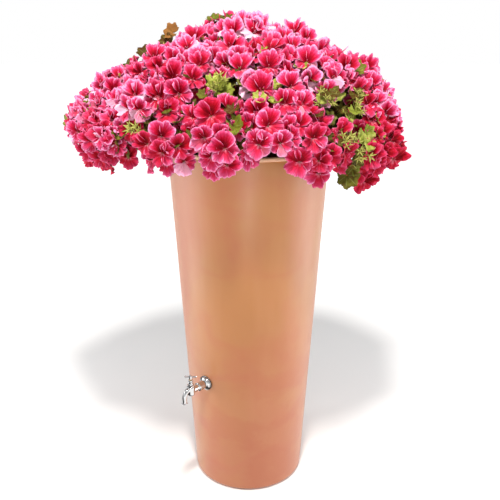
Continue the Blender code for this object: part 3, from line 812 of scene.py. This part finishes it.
def make_soil(draw, material):
    """The soil's crumbly surface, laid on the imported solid, whose depth stays out of sight."""
    radii = SOIL_RADIUS * np.linspace(0.002, 1.0, SOIL_RINGS)
    heights = SOIL_TOP - SOIL_DISH * (radii / SOIL_RADIUS) ** 2
    points = stacked_rings([*radii, 0], [*heights, 0], SOIL_STEPS)
    lumps = [[draw.gauss(0, SOIL_CRUMB) for _ in range(SOIL_STEPS)] for _ in range(SOIL_RINGS)]
    points[1:-1, :, 2] += np.array(lumps)[1:] + 0.0008
    points[-1] = points[-2]
    points[-1, :, 2] -= 0.010
    index = np.arange((SOIL_RINGS + 1) * SOIL_STEPS).reshape(-1, SOIL_STEPS)
    surface = new_piece("soil_surface", points.reshape(-1, 3), ring_faces(index)[:, ::-1], material)
    solidify = surface.modifiers.new("depth", "SOLIDIFY")
    solidify.thickness = 0.002
    apply_modifiers(surface)
    return stands_for(surface, "planter", "soil")


# ---- Tap and inlet ----


def wall_frame(angle, height):
    """A frame on the barrel's wall, with X pointing straight out and Z up."""
    radius = wall_radius(height)
    spot = Vector((radius * math.cos(angle), radius * math.sin(angle), height))
    return Matrix.Translation(spot) @ Matrix.Rotation(angle, 4, "Z")


OUTWARD = Matrix.Rotation(math.pi / 2, 4, "Y")  # lays a turned piece along X


def spout_path(end):
    """The spout's centre line: out from the chamber, over and straight down."""
    root = Vector((VALVE_X, 0, 0.0075))
    bend = Vector((SPOUT_X, 0, SPOUT_BEND))
    leaving = root + Vector((0.020, 0, 0.004))
    arriving = bend + Vector((0, 0, 0.017))
    path = interpolate_bezier(root, leaving, arriving, bend, 28)
    drop = [Vector((SPOUT_X, 0, SPOUT_BEND + (end - SPOUT_BEND) * i / 8)) for i in range(1, 9)]
    return [Vector(point) for point in path] + drop


def make_tap_body(wall, chrome):
    """The tap's casting: collar, neck, chamber and spout flow into each other, and the outlet has
    a bead round it."""
    outline = [(0.0115, -0.028), (0.0125, -0.027), (0.0125, 0.0166), (0.0138, 0.0166)]
    outline += arc(0.0138, 0.0176, 0.0010, -90, 0, 4)
    outline += arc(0.0128, 0.0400, 0.0020, 0, 90, 6)
    outline += arc(0.0140, 0.0450, 0.0030, 270, 180, 6)
    outline += [(0.0110, 0.050), (0.0110, VALVE_X)]
    body = place(turned("tap_casting", outline, chrome, TAP_STEPS, closed=False), OUTWARD)
    upright = shift(VALVE_X)
    outline = arc(0.0065, -0.0085, 0.0070, -88, 0, 8) + [(0.0135, 0.0130)]
    outline += arc(0.0127, 0.0157, 0.0008, 0, 90, 4)
    chamber = place(turned("chamber", outline, chrome, TAP_STEPS, closed=False), upright)
    combine(body, chamber, "UNION")
    path = spout_path(SPOUT_OUTLET)
    radii = [SPOUT_RADIUS * (1.06 - 0.12 * i / len(path)) for i in range(len(path))]
    combine(body, swept("spout", path, radii, chrome), "UNION")
    remesh = body.modifiers.new("casting", "REMESH")
    remesh.mode = "VOXEL"
    remesh.voxel_size = CASTING_DETAIL
    soften = body.modifiers.new("soften", "SMOOTH")
    soften.factor = 0.6
    soften.iterations = 7
    apply_modifiers(body)
    outlet = shift(SPOUT_X)
    outline = arc(SPOUT_RADIUS - 0.0006, SPOUT_OUTLET + 0.0026, 0.0022, -90, 90, 10)
    bead = turned("bead", outline, chrome, 64, closed=False)
    combine(body, place(bead, outlet), "UNION")
    bore = plug(SPOUT_BORE, SPOUT_OUTLET - 0.004, SPOUT_BEND - 0.002, chrome)
    combine(body, place(bore, outlet), "DIFFERENCE")
    for bore in VALVE_BORES:
        combine(body, place(plug(*bore, chrome), upright), "DIFFERENCE")
    sharpen(body, 50)
    return stands_for(place(body, wall), "barrel", "chrome", "tap_body")


def make_rosette(wall, chrome):
    """The domed cover plate, with a stepped edge."""
    outline = [(0.0128, 0.0038), (0.0250, 0.0038)]
    outline += arc(0.0245, 0.0048, 0.0010, -90, 60, 6)
    outline += [(0.0236, 0.0060), (0.0232, 0.0060)]
    outline += arc(0.0128, 0.0048, 0.0100, 8, 70, 14)
    outline += [(0.0148, 0.0158), (0.0128, 0.0160)]
    rosette = place(turned("rosette_plate", outline, chrome, TAP_STEPS), OUTWARD)
    return stands_for(place(rosette, wall), "barrel", "chrome", "tap_rosette")


def make_bonnet(upright, chrome):
    """The bonnet: a flange, six wrench flats and a slender neck under the gland nut."""
    outline = [(0.0062, 0.0118), (0.0095, 0.0118), (0.0095, 0.0168), (0.0122, 0.0168)]
    outline += arc(0.0118, 0.0178, 0.0010, -60, 90, 6)
    outline += [(0.0084, 0.0190), (0.0084, 0.0270)]
    outline += arc(0.0090, 0.0290, 0.0014, 215, 145, 4)
    outline += [(0.0082, 0.0305), (0.0082, 0.0352), (0.0076, 0.0360), (0.0064, 0.0360), (0.0064, 0.0320)]
    outline += [(0.0043, 0.0320), (0.0043, 0.0280), (0.0062, 0.0280)]
    bonnet = turned("bonnet_turning", outline, chrome, TAP_STEPS)
    outline = [(0.0126, 0.0186), (0.0128, 0.0190), (0.0128, 0.0226), (0.0120, 0.0233)]
    flats = turned("flats", outline, chrome, 6, closed=False)
    combine(bonnet, combine(flats, plug(0.0070, 0.010, 0.030, chrome), "DIFFERENCE"), "UNION")
    sharpen(bonnet)
    return stands_for(place(bonnet, upright), "barrel", "chrome", "tap_bonnet")


def make_gland_nut(upright, chrome):
    """The gland nut, with a groove at its foot."""
    outline = [(0.0043, 0.0351), (0.0060, 0.0351), (0.0060, 0.0363), (0.0072, 0.0363)]
    outline += arc(0.0072, 0.0369, 0.0006, -90, 0, 4)
    outline += arc(0.0068, 0.0402, 0.0010, 0, 90, 6) + [(0.0043, 0.0412)]
    nut = turned("gland_nut_turning", outline, chrome, 12)
    return stands_for(place(nut, upright), "barrel", "chrome", "tap_gland_nut")


def make_handle(upright, level, chrome):
    """The T-handle: a hub and a bar that thins towards the hub and ends in two rounded knobs."""
    outline = [(0.0043, 0.0445), (0.0052, 0.0445), (0.0058, 0.0452), (0.0058, 0.0545)]
    outline += arc(0.0048, 0.0553, 0.0010, 0, 90, 5)
    outline += [(0.0020, 0.0563), (0.0020, 0.0503), (0.0043, 0.0503)]
    handle = turned("handle_casting", outline, chrome, 64)
    shares = [i / 40 for i in range(-40, 41)]
    path = [Vector((HANDLE_HALF * share, 0, HANDLE_LEVEL)) for share in shares]
    radii = []
    for share in shares:
        knob = max(0.0, 1 - ((abs(share) - 0.87) / 0.13) ** 2) ** 0.5 * HANDLE_KNOB
        radii.append(max(knob, HANDLE_BAR * (1 + share * share / 4) if abs(share) < 0.9 else 0.0002))
    bar = swept("bar", path, radii, chrome, 32)
    for radius, top in ((0.0021, 0.0600), (0.0043, 0.0503)):
        combine(bar, plug(radius, 0.0400, top, chrome), "DIFFERENCE")
    combine(handle, bar, "UNION")
    sharpen(handle, 40)
    return stands_for(place(handle, upright @ level), "handle", "chrome", "tap_handle")


def make_handle_screw(upright, level, chrome):
    """The slotted screw on top of the hub."""
    outline = [(0.0016, 0.0440), (0.0016, 0.0566), (0.0034, 0.0566), (0.0036, 0.0568), (0.0036, 0.0574)]
    outline += arc(0.0020, 0.0573, 0.0016, 10, 88, 6)
    screw = turned("handle_screw_turning", outline, chrome, 48, closed=False)
    slot = swept("slot", [Vector((-0.006, 0, 0)), Vector((0.006, 0, 0))], [0.0006, 0.0006], chrome, 4)
    combine(screw, place(slot, shift(z=0.0590)), "DIFFERENCE")
    sharpen(screw)
    return stands_for(place(screw, upright @ level), "handle", "chrome", "tap_handle_screw")


def make_tap(chrome):
    wall = wall_frame(TAP_ANGLE, TAP_HEIGHT)
    upright = wall @ shift(VALVE_X)
    level = Matrix.Rotation(-TAP_ANGLE, 4, "Z")
    make_rosette(wall, chrome)
    make_tap_body(wall, chrome)
    make_bonnet(upright, chrome)
    make_gland_nut(upright, chrome)
    make_handle(upright, level, chrome)
    make_handle_screw(upright, level, chrome)


def make_inlet(plastic):
    """The hose inlet: a threaded tail, a flange with a raised ring, and a spigot with barbs."""
    outline = [(INLET_BORE, -0.028), (0.0164, -0.028)]
    for i in range(THREADS):
        start = THREAD_START + i * THREAD_PITCH
        crest = [(0.0168, start + 0.0008), (0.0168, start + 0.0014)]
        outline += [(0.0164, start), *crest, (0.0164, start + 0.0022)]
    outline += [(0.0168, -0.001), (0.0168, 0.0038), (0.0264, 0.0038)]
    outline += arc(0.0264, 0.0044, 0.0006, -90, 0, 4) + arc(0.0262, 0.0070, 0.0008, 0, 90, 4)
    outline += [(0.0215, 0.0078), (0.0210, 0.0072), (0.0185, 0.0072)]
    outline += arc(0.0185, 0.0102, 0.0030, -90, -180, 6)
    for start in BARBS:
        outline += [(0.0155, start), (0.0165, start + 0.0003)]
        outline += arc(0.0163, start + 0.0009, 0.0004, 0, 60, 3)
    outline += [(0.0151, 0.0520), (INLET_BORE, 0.0520)]
    spigot = place(turned("hose_spigot", outline, plastic, TAP_STEPS), OUTWARD)
    wall = wall_frame(INLET_ANGLE, INLET_HEIGHT)
    return stands_for(place(spigot, wall), "barrel", "black_plastic", "inlet_hose_connector")


# ---- Flowers, leaves and stalks: templates ----


def grid_paint(across, along, kind=0.0, tone=0.0):
    """Paint for a grid of points, where across runs from -1 to 1 and along from 0 to 1."""
    paint = np.zeros((along.size, across.size, 4))
    paint[..., 0] = (across + 1) / 2
    paint[..., 1] = along
    paint[..., 2] = kind
    paint[..., 3] = tone
    return paint


def petal(length, spread, rise, flare, cup, ruffle, upper, draw):
    """One petal along +Y from the bloom's centre, facing +Z. rise and flare are its slope in degrees
    at the claw and at the margin. The outline is broad, with a notched tip and a wavy margin."""
    u = np.linspace(-0.97, 0.97, PETAL_COLUMNS)[None, :]
    v = np.linspace(0.07, 1.0, PETAL_ROWS)[:, None]
    broad = np.cos(np.pi / 2 * np.abs(u)) ** 0.28
    notch = 1 - (0.06 if upper else 0.03) * np.exp(-((u / 0.2) ** 2))
    wave = 1 + 0.045 * np.sin(draw.uniform(6, 12) * u + draw.uniform(0, 6))
    reach = v * (broad * notch * wave)
    slope = np.radians(rise + (flare - rise) * reach**0.8)
    out = length * reach * np.cos(slope)
    height = length * reach * np.sin((np.radians(rise) + slope) / 2) * 0.8
    turn = np.radians(spread) * u
    x = out * np.sin(turn)
    y = out * np.cos(turn)
    height = height + cup * length * (x / (0.45 * length)) ** 2
    waves = np.sin(draw.uniform(5, 10) * u + draw.uniform(0, 6))
    waves = waves + 0.45 * np.sin(15 * u + draw.uniform(0, 6))
    height = height + ruffle * length * v**2.5 * waves
    height = height + draw.uniform(-0.12, 0.12) * length * v**2 * u
    tone = draw.uniform(-0.12, 0.12) if upper else draw.uniform(-0.30, 0.24)
    paint = grid_paint(u, v, float(upper), tone)
    return thick_sheet(np.stack([x, y, height], -1), paint, PETAL_THICKNESS)


def stamen(draw):
    """A thin curved filament with a swollen tip, from the bloom's throat."""
    heights = np.array([0.001, 0.006, 0.0095, 0.0105, 0.0120])
    rings = stacked_rings([0.0004, 0.0004, 0.0005, 0.0010, 0.0006], heights, 4)
    turn = draw.uniform(0, 2 * math.pi)
    lean = draw.uniform(1.8, 4.5) * heights[:, None] ** 1.5
    rings[..., 0] += lean * math.cos(turn)
    rings[..., 1] += lean * math.sin(turn)
    return rod(rings, (0.5, 0.02, 0.5, 0.0))


def bloom(draw):
    """A bloom facing +Z with +Y up: two broad blotched petals above and three narrower ones below."""
    growth = Growth()
    for side in (-1, 0, 1):
        length = PETAL_LENGTH * draw.uniform(0.84, 0.98)
        low = petal(length, 46, 42, draw.uniform(-40, 18), draw.uniform(-0.10, 0.12), 0.125, False, draw)
        growth.add(low, Matrix.Rotation(math.pi + side * math.radians(draw.uniform(54, 66)), 4, "Z"))
    for side in (-1, 1):
        length = PETAL_LENGTH * draw.uniform(0.92, 1.06)
        high = petal(length, 62, 58, draw.uniform(-10, 50), draw.uniform(-0.04, 0.16), 0.130, True, draw)
        growth.add(high, Matrix.Rotation(side * math.radians(draw.uniform(28, 38)), 4, "Z"))
    for _ in range(3):
        growth.add(stamen(draw))
    return growth.template()


def leaf(draw):
    """A round, lobed and toothed leaf facing +Z, its stalk end at the origin and its tip along +Y."""
    u = np.linspace(-1, 1, LEAF_COLUMNS)[None, :]
    v = np.linspace(0.05, 1.0, LEAF_ROWS)[:, None]
    turn = np.radians(LEAF_SPREAD) * u
    teeth = np.where(np.arange(LEAF_COLUMNS) % 2, 0.03, -0.03)
    margin = 0.88 + 0.12 * np.cos(turn) + 0.08 * np.cos(LEAF_LOBES * turn) + teeth
    radius = LEAF_RADIUS * v * (1 + (margin - 1) * v)
    x = radius * np.sin(turn)
    y = radius * np.cos(turn)
    folds = 0.11 * v**1.5 * np.cos(LEAF_LOBES * turn + draw.uniform(-0.4, 0.4))
    cup = draw.uniform(0.10, 0.60) * v**2
    sag = draw.uniform(0.05, 0.30) * (y / LEAF_RADIUS) ** 2
    skew = draw.uniform(-0.15, 0.15) * x * y / LEAF_RADIUS**2
    height = LEAF_RADIUS * (folds + cup - sag + skew)
    return thick_sheet(np.stack([x, y, height], -1), grid_paint(u, v), LEAF_THICKNESS)


def bud():
    """A closed bud along +Z: a green calyx with a pink tip."""
    heights = np.array([0.0, 0.002, 0.005, 0.009, 0.012, 0.0135])
    rings = stacked_rings([0.0010, 0.0024, 0.0030, 0.0026, 0.0016, 0.0005], heights, 6)
    points, faces, paint = rod(rings, (0.5, 0, 0, 0))
    paint[:, 1] = points[:, 2] / heights[-1]
    return points, faces, paint


def calyx():
    """The green cup behind a bloom, open end along +Z."""
    rings = stacked_rings([0.0009, 0.0019, 0.0026, 0.0036], [-0.010, -0.008, -0.003, 0.0015], 6)
    return rod(rings, (0.5, 0, 0, 0.1))


def star():
    """The pointed green sepals left when the petals have fallen, open along +Z."""
    growth = Growth()
    sepal = stacked_rings([0.0010, 0.0022, 0.0018, 0.0003], [0.0, 0.005, 0.011, 0.019], 4)
    for i in range(5):
        lean = Matrix.Rotation(i * 2 * math.pi / 5, 4, "Z") @ Matrix.Rotation(math.radians(50), 4, "X")
        growth.add(rod(sepal, (0.5, 0.3, 0.0, 0.0)), lean)
    return growth.template()


def stalk(start, through, end, thick, thin, woody):
    """A curved round stalk, as a template in place."""
    rings = np.zeros((STALK_RINGS, 6, 3))
    across = (through - start).orthogonal().normalized()
    for i in range(STALK_RINGS):
        t = i / (STALK_RINGS - 1)
        first, second = start.lerp(through, t), through.lerp(end, t)
        along = (second - first).normalized()
        across = (across - along * across.dot(along)).normalized()
        other = along.cross(across)
        radius = thick + (thin - thick) * t
        for side in range(6):
            turn = side * math.pi / 3
            offset = math.cos(turn) * across + math.sin(turn) * other
            rings[i, side] = first.lerp(second, t) + radius * offset
    return rod(rings, (0.5, 0.3, woody, 0.0))


# ---- The planting ----


def wrapped(angle):
    """The same angle between -180 and 180 degrees."""
    return (angle + 180) % 360 - 180


def scattered(draw, spread):
    """A random offset."""
    return Vector([draw.gauss(0, spread) for _ in range(3)])


def canopy_hem(angle):
    """The height of the canopy's lower edge, smooth between the angles of HEM_HEIGHTS."""
    angle = wrapped(angle)
    before = max(key for key in HEM_HEIGHTS if key <= angle)
    after = min(key for key in HEM_HEIGHTS if key > angle)
    share = (1 - math.cos(math.pi * (angle - before) / (after - before))) / 2
    return HEM_HEIGHTS[before] + (HEM_HEIGHTS[after] - HEM_HEIGHTS[before]) * share


def hollow(angle, rise):
    """How far the dome is pressed in here, as a share of its size."""
    total = 0.0
    for centre, level, depth, across, along in HOLLOWS:
        aside = wrapped(angle - centre) / across
        total += depth * math.exp(-(aside**2) - ((rise - level) / along) ** 2)
    return total


def canopy_point(angle, rise):
    """A point of the canopy's outer face. rise is in degrees up the dome from the widest line, or
    from 0 to -1 down to the hem."""
    turn = math.radians(angle)
    reach = 1 / math.hypot(math.cos(turn) / SIDE_REACH, math.sin(turn) / FRONT_REACH)
    up = math.radians(max(rise, 0))
    down = max(-rise, 0)
    power = DOME_POWER - DOME_SKEW * math.cos(turn)
    size = 1 - (hollow(angle, rise) if rise > 0 else 0.0)
    radius = size * reach * math.cos(up) ** power * (1 - HEM_TUCK * down**2)
    height = CANOPY_WIDEST + size * (CANOPY_TOP - CANOPY_WIDEST) * math.sin(up) ** power
    height += (canopy_hem(angle) - CANOPY_WIDEST) * down
    return CANOPY_CENTRE + Vector((radius * math.cos(turn), radius * math.sin(turn), height))


def canopy_normal(angle, rise):
    """The outward direction of the canopy's face."""
    step = 2.0
    small = step if rise > 0 else 0.05
    lower = max(rise - small, -1)
    upper = min(rise + small, 89.9)
    along = canopy_point(angle, upper) - canopy_point(angle, lower)
    across = canopy_point(angle + step, rise) - canopy_point(angle - step, rise)
    return across.cross(along).normalized()


def scatter(draw, spacing, tries, taken=(), clearance=0.0):
    """Angles and rises spread over the canopy, at least spacing apart, after those already taken
    and this far above the hem."""
    spots = list(taken)
    points = [canopy_point(*spot) for spot in spots]
    skirt = 0.4
    for _ in range(tries):
        angle = draw.uniform(-180, 180)
        share = draw.uniform(-skirt, 1)
        rise = share / skirt if share < 0 else math.degrees(math.asin(share))
        point = canopy_point(angle, rise)
        if point.z < canopy_hem(angle) + clearance:
            continue
        if all((point - other).length > spacing for other in points):
            spots.append((angle, rise))
            points.append(point)
    return spots


def plant_at(angle, rise):
    """The plant that owns this part of the canopy."""
    if rise > CROWN_EDGE:
        return "middle"
    return min(PLANTS, key=lambda name: abs(wrapped(PLANTS[name] - angle)))


def canopy_spot(angle, rise):
    """The plant, the point and the outward direction at this part of the canopy."""
    return plant_at(angle, rise), canopy_point(angle, rise), canopy_normal(angle, rise)


def facing(spot, direction, up=UP, roll=0.0, size=1.0):
    """The matrix that puts a template at a spot, its Z along direction and its Y near up."""
    z = direction.normalized()
    x = up.cross(z)
    if x.length < 0.05:
        x = Vector((1, 0, 0)) - z * z.x
    x.normalize()
    turn = Matrix((x, z.cross(x), z)).transposed().to_4x4()
    return Matrix.Translation(spot) @ turn @ Matrix.Rotation(roll, 4, "Z") @ Matrix.Scale(size, 4)


def grow_head(draw, blooms, hub, normal, ring, stalks):
    """One flower head: a bloom in the middle and a ring of them round it, on stalks from one hub."""
    petals = Growth()
    axis = (normal + HEAD_LIFT * UP).normalized()
    side = axis.orthogonal().normalized()
    # Painted shade: the tone rises for heads low on the hem and for heads facing up, which paints them deeper red.
    tone = draw.uniform(-0.40, 0.35) + max(0, CANOPY_WIDEST + LOW_BAND - hub.z) * LOW_PAINTED_SHADE
    tone += TOP_PAINTED_SHADE * max(normal.z, 0)
    start = draw.uniform(0, 360)
    for i in range(-1, ring):
        tilts, reaches = (MIDDLE_TILT, MIDDLE_REACH) if i < 0 else (RING_TILT, RING_REACH)
        turn = math.radians(start + 360 * i / ring + draw.uniform(-12, 12))
        tilt = math.radians(draw.uniform(*tilts))
        around = Matrix.Rotation(turn, 3, axis) @ side
        direction = axis * math.cos(tilt) + around * math.sin(tilt)
        look = axis * math.cos(HEAD_FAN * tilt) + around * math.sin(HEAD_FAN * tilt)
        look += scattered(draw, LOOK_SCATTER) + SUNWARD
        look.z = max(look.z, LOOK_FLOOR)
        look.normalize()
        throat = hub + direction * draw.uniform(*reaches)
        roll = math.radians(draw.uniform(-BLOOM_ROLL, BLOOM_ROLL))
        turned_bloom = facing(throat, look, UP, roll, draw.uniform(*BLOOM_SIZES))
        petals.add(draw.choice(blooms), turned_bloom, tone + draw.uniform(-0.25, 0.25))
        pedicel_end = throat - look * CALYX_DEPTH
        stalks.add(stalk(hub, hub + direction * 0.026, pedicel_end, *PEDICEL, 0.0), tone=0.2)
        stalks.add(calyx(), facing(throat, look))
    for _ in range(draw.choice((1, 2, 3))):
        grow_stray(draw, bud(), hub, axis * draw.uniform(0.5, 1.2), stalks, 0.030, 0.050)
    return petals


def grow_stray(draw, template, hub, axis, stalks, least, most):
    """A bud or a spent bloom on a stalk of its own, off to one side of the axis."""
    lean = Vector([draw.uniform(-1, 1) for _ in range(3)])
    direction = (axis + lean).normalized()
    tip = hub + direction * draw.uniform(least, most)
    stalks.add(stalk(hub, hub.lerp(tip, 0.5), tip, 0.0009, 0.0007, 0.0), tone=0.3)
    stalks.add(template, facing(tip, direction, UP, draw.uniform(0, 1), draw.uniform(0.7, 1.2)), 0.5)


class Plant:
    """What grows on one of the plants, and the hubs of its heads."""

    def __init__(self, name):
        self.name = name
        self.leaves = Growth()
        self.stalks = Growth()
        self.hubs = []


def grow_leaf(draw, leaves, plant, spot, normal, tone, size, dry=0.0, sway=Vector()):
    """A leaf turned to the light, on a stalk that comes from inside the canopy."""
    jitter = Vector((draw.gauss(0, 0.35), draw.gauss(0, 0.35), draw.gauss(0, 0.25)))
    look = (normal + 0.45 * UP + jitter + sway).normalized()
    out = (normal - look * normal.dot(look) - 0.25 * UP + 0.4 * jitter).normalized()
    points, faces, paint = draw.choice(leaves)
    paint = paint.copy()
    paint[:, 2] = dry
    matrix = facing(spot, look, out, draw.uniform(-0.7, 0.7), size)
    plant.leaves.add((points, faces, paint), matrix, tone)
    foot = spot - normal * 0.07 - UP * 0.02
    plant.stalks.add(stalk(foot, spot - look * 0.03, spot, *LEAF_STALK, 0.0), tone=0.1)


def grow_leaves(draw, leaves, plants):
    """The layers of leaves under the heads, and the strays that stick out between them."""
    for spacing, low, high, tone, size in LEAF_LAYERS:
        for angle, rise in scatter(draw, spacing, LEAF_TRIES, (), LEAF_CLEARANCE):
            name, spot, normal = canopy_spot(angle, rise)
            spot -= normal * draw.uniform(low, high)
            # The layer's tone sets the shade: the deeper layer is painted darker.
            shade = tone + draw.uniform(-0.4, 0.45)
            scale = size * draw.uniform(0.6, 1.15)
            grow_leaf(draw, leaves, plants[name], spot, normal, shade, scale)
    for angle, rise, out, size, tone, dry in STRAY_LEAVES:
        name, spot, normal = canopy_spot(angle, rise)
        spot += normal * out
        grow_leaf(draw, leaves, plants[name], spot, normal, tone, size, dry, STRAY_SWAY)


def grow_heads(draw, blooms, plants, material):
    """The flower heads: large ones spread over the canopy, and small ones in the gaps between."""
    heads = scatter(draw, HEAD_SPACING, HEAD_TRIES, (*OUTLINE_HEADS, *SPENT_HEADS), HEAD_CLEARANCE)
    spots = scatter(draw, GAP_SPACING, GAP_TRIES, heads, HEAD_CLEARANCE)
    for number, (angle, rise) in enumerate(spots):
        if (angle, rise) in SPENT_HEADS:
            continue
        small = number >= len(heads)
        name, spot, normal = canopy_spot(angle, rise)
        plant = plants[name]
        depth = HEAD_DEPTH + SIDE_DEPTH * (1 - max(normal.z, 0))
        depth += CROWN_DEPTH if rise > CROWN_EDGE else 0.0
        depth += draw.uniform(0.010, 0.030) if small else draw.uniform(-0.012, 0.030)
        hub = spot - normal * depth - UP * OUTLINE_HEADS.get((angle, rise), 0.0)
        ring = draw.choice((2, 3)) if small else draw.choice((6, 6, 7))
        petals = grow_head(draw, blooms, hub, normal, ring, plant.stalks)
        plant.hubs.append(hub)
        head = petals.piece(f"{name}_head_{len(plant.hubs):02d}", material)
        stands_for(head, "planter", "pelargonium")


def grow_spent_heads(draw, leaves, plants):
    """The heads gone to seed: bare sepals on their stalks, with a few leaves among them."""
    for angle, rise in SPENT_HEADS:
        name, spot, normal = canopy_spot(angle, rise)
        plant = plants[name]
        hub = spot - normal * SPENT_DEPTH
        plant.hubs.append(hub)
        for _ in range(draw.choice((7, 9, 11))):
            grow_stray(draw, star(), hub, normal * 1.1 + 0.4 * UP, plant.stalks, 0.030, 0.062)
        for _ in range(3):
            aside = scattered(draw, 0.022)
            spot = hub + normal * draw.uniform(0.005, 0.035) + aside
            size = draw.uniform(0.6, 0.9)
            grow_leaf(draw, leaves, plant, spot, normal, draw.uniform(0.1, 0.9), size)


def grow_stems(draw, plant):
    """The plant's woody stem from the soil, forking into the long stalks that carry its heads."""
    angle = math.radians(PLANTS.get(plant.name, 180))
    out = MIDDLE_FOOT if plant.name == "middle" else OUTER_FOOT
    foot = Vector((out * math.cos(angle), out * math.sin(angle), SOIL_TOP - 0.004))
    crown = foot + UP * 0.07
    plant.stalks.add(stalk(foot, foot + UP * 0.035, crown, *STEM, 1.0))
    centre = sum(plant.hubs, Vector()) / len(plant.hubs)
    forks = []
    for _ in range(FORKS):
        aim = centre + scattered(draw, 0.07)
        fork = crown.lerp(aim, draw.uniform(0.45, 0.6))
        bend = crown.lerp(fork, 0.5) + UP * 0.03
        plant.stalks.add(stalk(crown - UP * 0.01, bend, fork, *FORK, 0.8))
        forks.append(fork)
    for hub in plant.hubs:
        fork = min(forks, key=lambda point: (point - hub).length)
        bend = fork.lerp(hub, 0.6) + UP * 0.015
        tone = draw.uniform(-0.1, 0.2)
        plant.stalks.add(stalk(fork, bend, hub, *HEAD_STALK, 0.25), tone=tone)


def make_planting(draw, materials):
    """The plants. Each head is a piece of its own, and so are each plant's leaves and its stalks."""
    blooms = [bloom(draw) for _ in range(BLOOM_KINDS)]
    leaves = [leaf(draw) for _ in range(LEAF_KINDS)]
    plants = {name: Plant(name) for name in ("middle", *PLANTS)}
    grow_heads(draw, blooms, plants, materials["petals"])
    grow_spent_heads(draw, leaves, plants)
    grow_leaves(draw, leaves, plants)
    for name, plant in plants.items():
        grow_stems(draw, plant)
        piece = plant.leaves.piece(f"{name}_leaves", materials["leaves"])
        stands_for(piece, "planter", "pelargonium", f"pelargonium_{name}")
        piece = plant.stalks.piece(f"{name}_stalks", materials["stalks"])
        stands_for(piece, "planter", "pelargonium")


# ---- Studio ----


def make_floor(material):
    signs = ((-1, -1), (1, -1), (1, 1), (-1, 1))
    corners = [(FLOOR_HALF * x, FLOOR_HALF * y, 0) for x, y in signs]
    new_piece("studio_floor", corners, [[0, 1, 2, 3]], material)


def make_light(kind, name, spot, aim, power, **settings):
    """A light at a spot, turned towards aim."""
    data = bpy.data.lights.new(name, kind)
    data.energy = power
    for setting, value in settings.items():
        setattr(data, setting, value)
    light = bpy.data.objects.new(name, data)
    light.location = spot
    light.rotation_euler = (Vector(aim) - Vector(spot)).to_track_quat("-Z", "Y").to_euler()
    bpy.context.scene.collection.objects.link(light)


def make_world():
    """A room that is white round the horizon and dimmer overhead."""
    world = bpy.data.worlds.new("studio")
    bpy.context.scene.world = world
    world.use_nodes = True
    tree = world.node_tree
    where = tree.nodes.new("ShaderNodeTexCoord")
    parts = tree.nodes.new("ShaderNodeSeparateXYZ")
    fade = tree.nodes.new("ShaderNodeValToRGB")
    tree.links.new(where.outputs["Generated"], parts.inputs[0])
    tree.links.new(parts.outputs["Z"], fade.inputs["Fac"])
    tree.links.new(fade.outputs["Color"], tree.nodes["Background"].inputs["Color"])
    for element, (position, grey) in zip(fade.color_ramp.elements, ((0.10, 1.0), (0.45, 0.48))):
        element.position = position
        element.color = (grey, grey, grey, 1.0)


def make_studio():
    """A white room, a tall softbox on each side, a soft spot under the overhang and a high key."""
    make_world()
    softbox = {"shape": "RECTANGLE", "size": 1.4, "size_y": 1.8}
    for name, x in (("left", -1.9), ("right", 1.9)):
        make_light("AREA", f"{name}_softbox", (x, 0.0, 0.7), (0, 0, 0.6), SOFTBOX_POWER, **softbox)
    spot = {"spot_size": math.radians(10), "spot_blend": 1.0, "shadow_soft_size": 0.2}
    make_light("SPOT", "overhang_fill", (0, -3.2, 0.6), (0, 0, 1.08), FILL_POWER, **spot)
    key = {"shape": "DISK", "size": 0.40, "color": (1.0, 0.97, 0.93)}
    make_light("AREA", "key", (0, -1.6, 3.8), (0, 0, 1.0), KEY_POWER, **key)


def make_camera():
    data = bpy.data.cameras.new("camera")
    data.lens = CAMERA_LENS
    data.sensor_width = 36
    data.shift_x = CAMERA_SHIFT
    camera = bpy.data.objects.new("camera", data)
    camera.location = CAMERA_PLACE
    camera.rotation_euler = (math.radians(90 - CAMERA_PITCH), 0, 0)
    bpy.context.scene.collection.objects.link(camera)
    bpy.context.scene.camera = camera


def paint_nodes(materials):
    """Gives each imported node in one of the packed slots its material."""
    slots = {part["node"]: part["material_slot"] for part in frame["record"]["subparts"]}
    for name, node in frame["nodes"].items():
        if slots[name] in PACKED_SLOTS:
            node.data.materials.clear()
            node.data.materials.append(materials[slots[name]])


def main():
    draw = random.Random(SEED)
    bpy.context.scene.view_settings.view_transform = "Standard"
    materials = {
        "barrel": terracotta_material("barrel_terracotta", *BARREL_TINTS, 0.40),
        "bowl": terracotta_material("bowl_terracotta", *BOWL_TINTS, 0.42),
        "chrome": chrome_material(),
        "brass": brass_material(),
        "black_rubber": rubber_material(),
        "black_plastic": black_plastic_material(),
        "soil": soil_material(),
        "petals": petal_material(),
        "leaves": leaf_material(),
        "stalks": stalk_material(),
    }
    paint_nodes(materials)
    make_barrel(materials["barrel"])
    make_bowl(materials["bowl"])
    make_soil(draw, materials["soil"])
    make_tap(materials["chrome"])
    make_inlet(materials["black_plastic"])
    make_planting(draw, materials)
    make_floor(floor_material())
    make_studio()
    make_camera()


main()
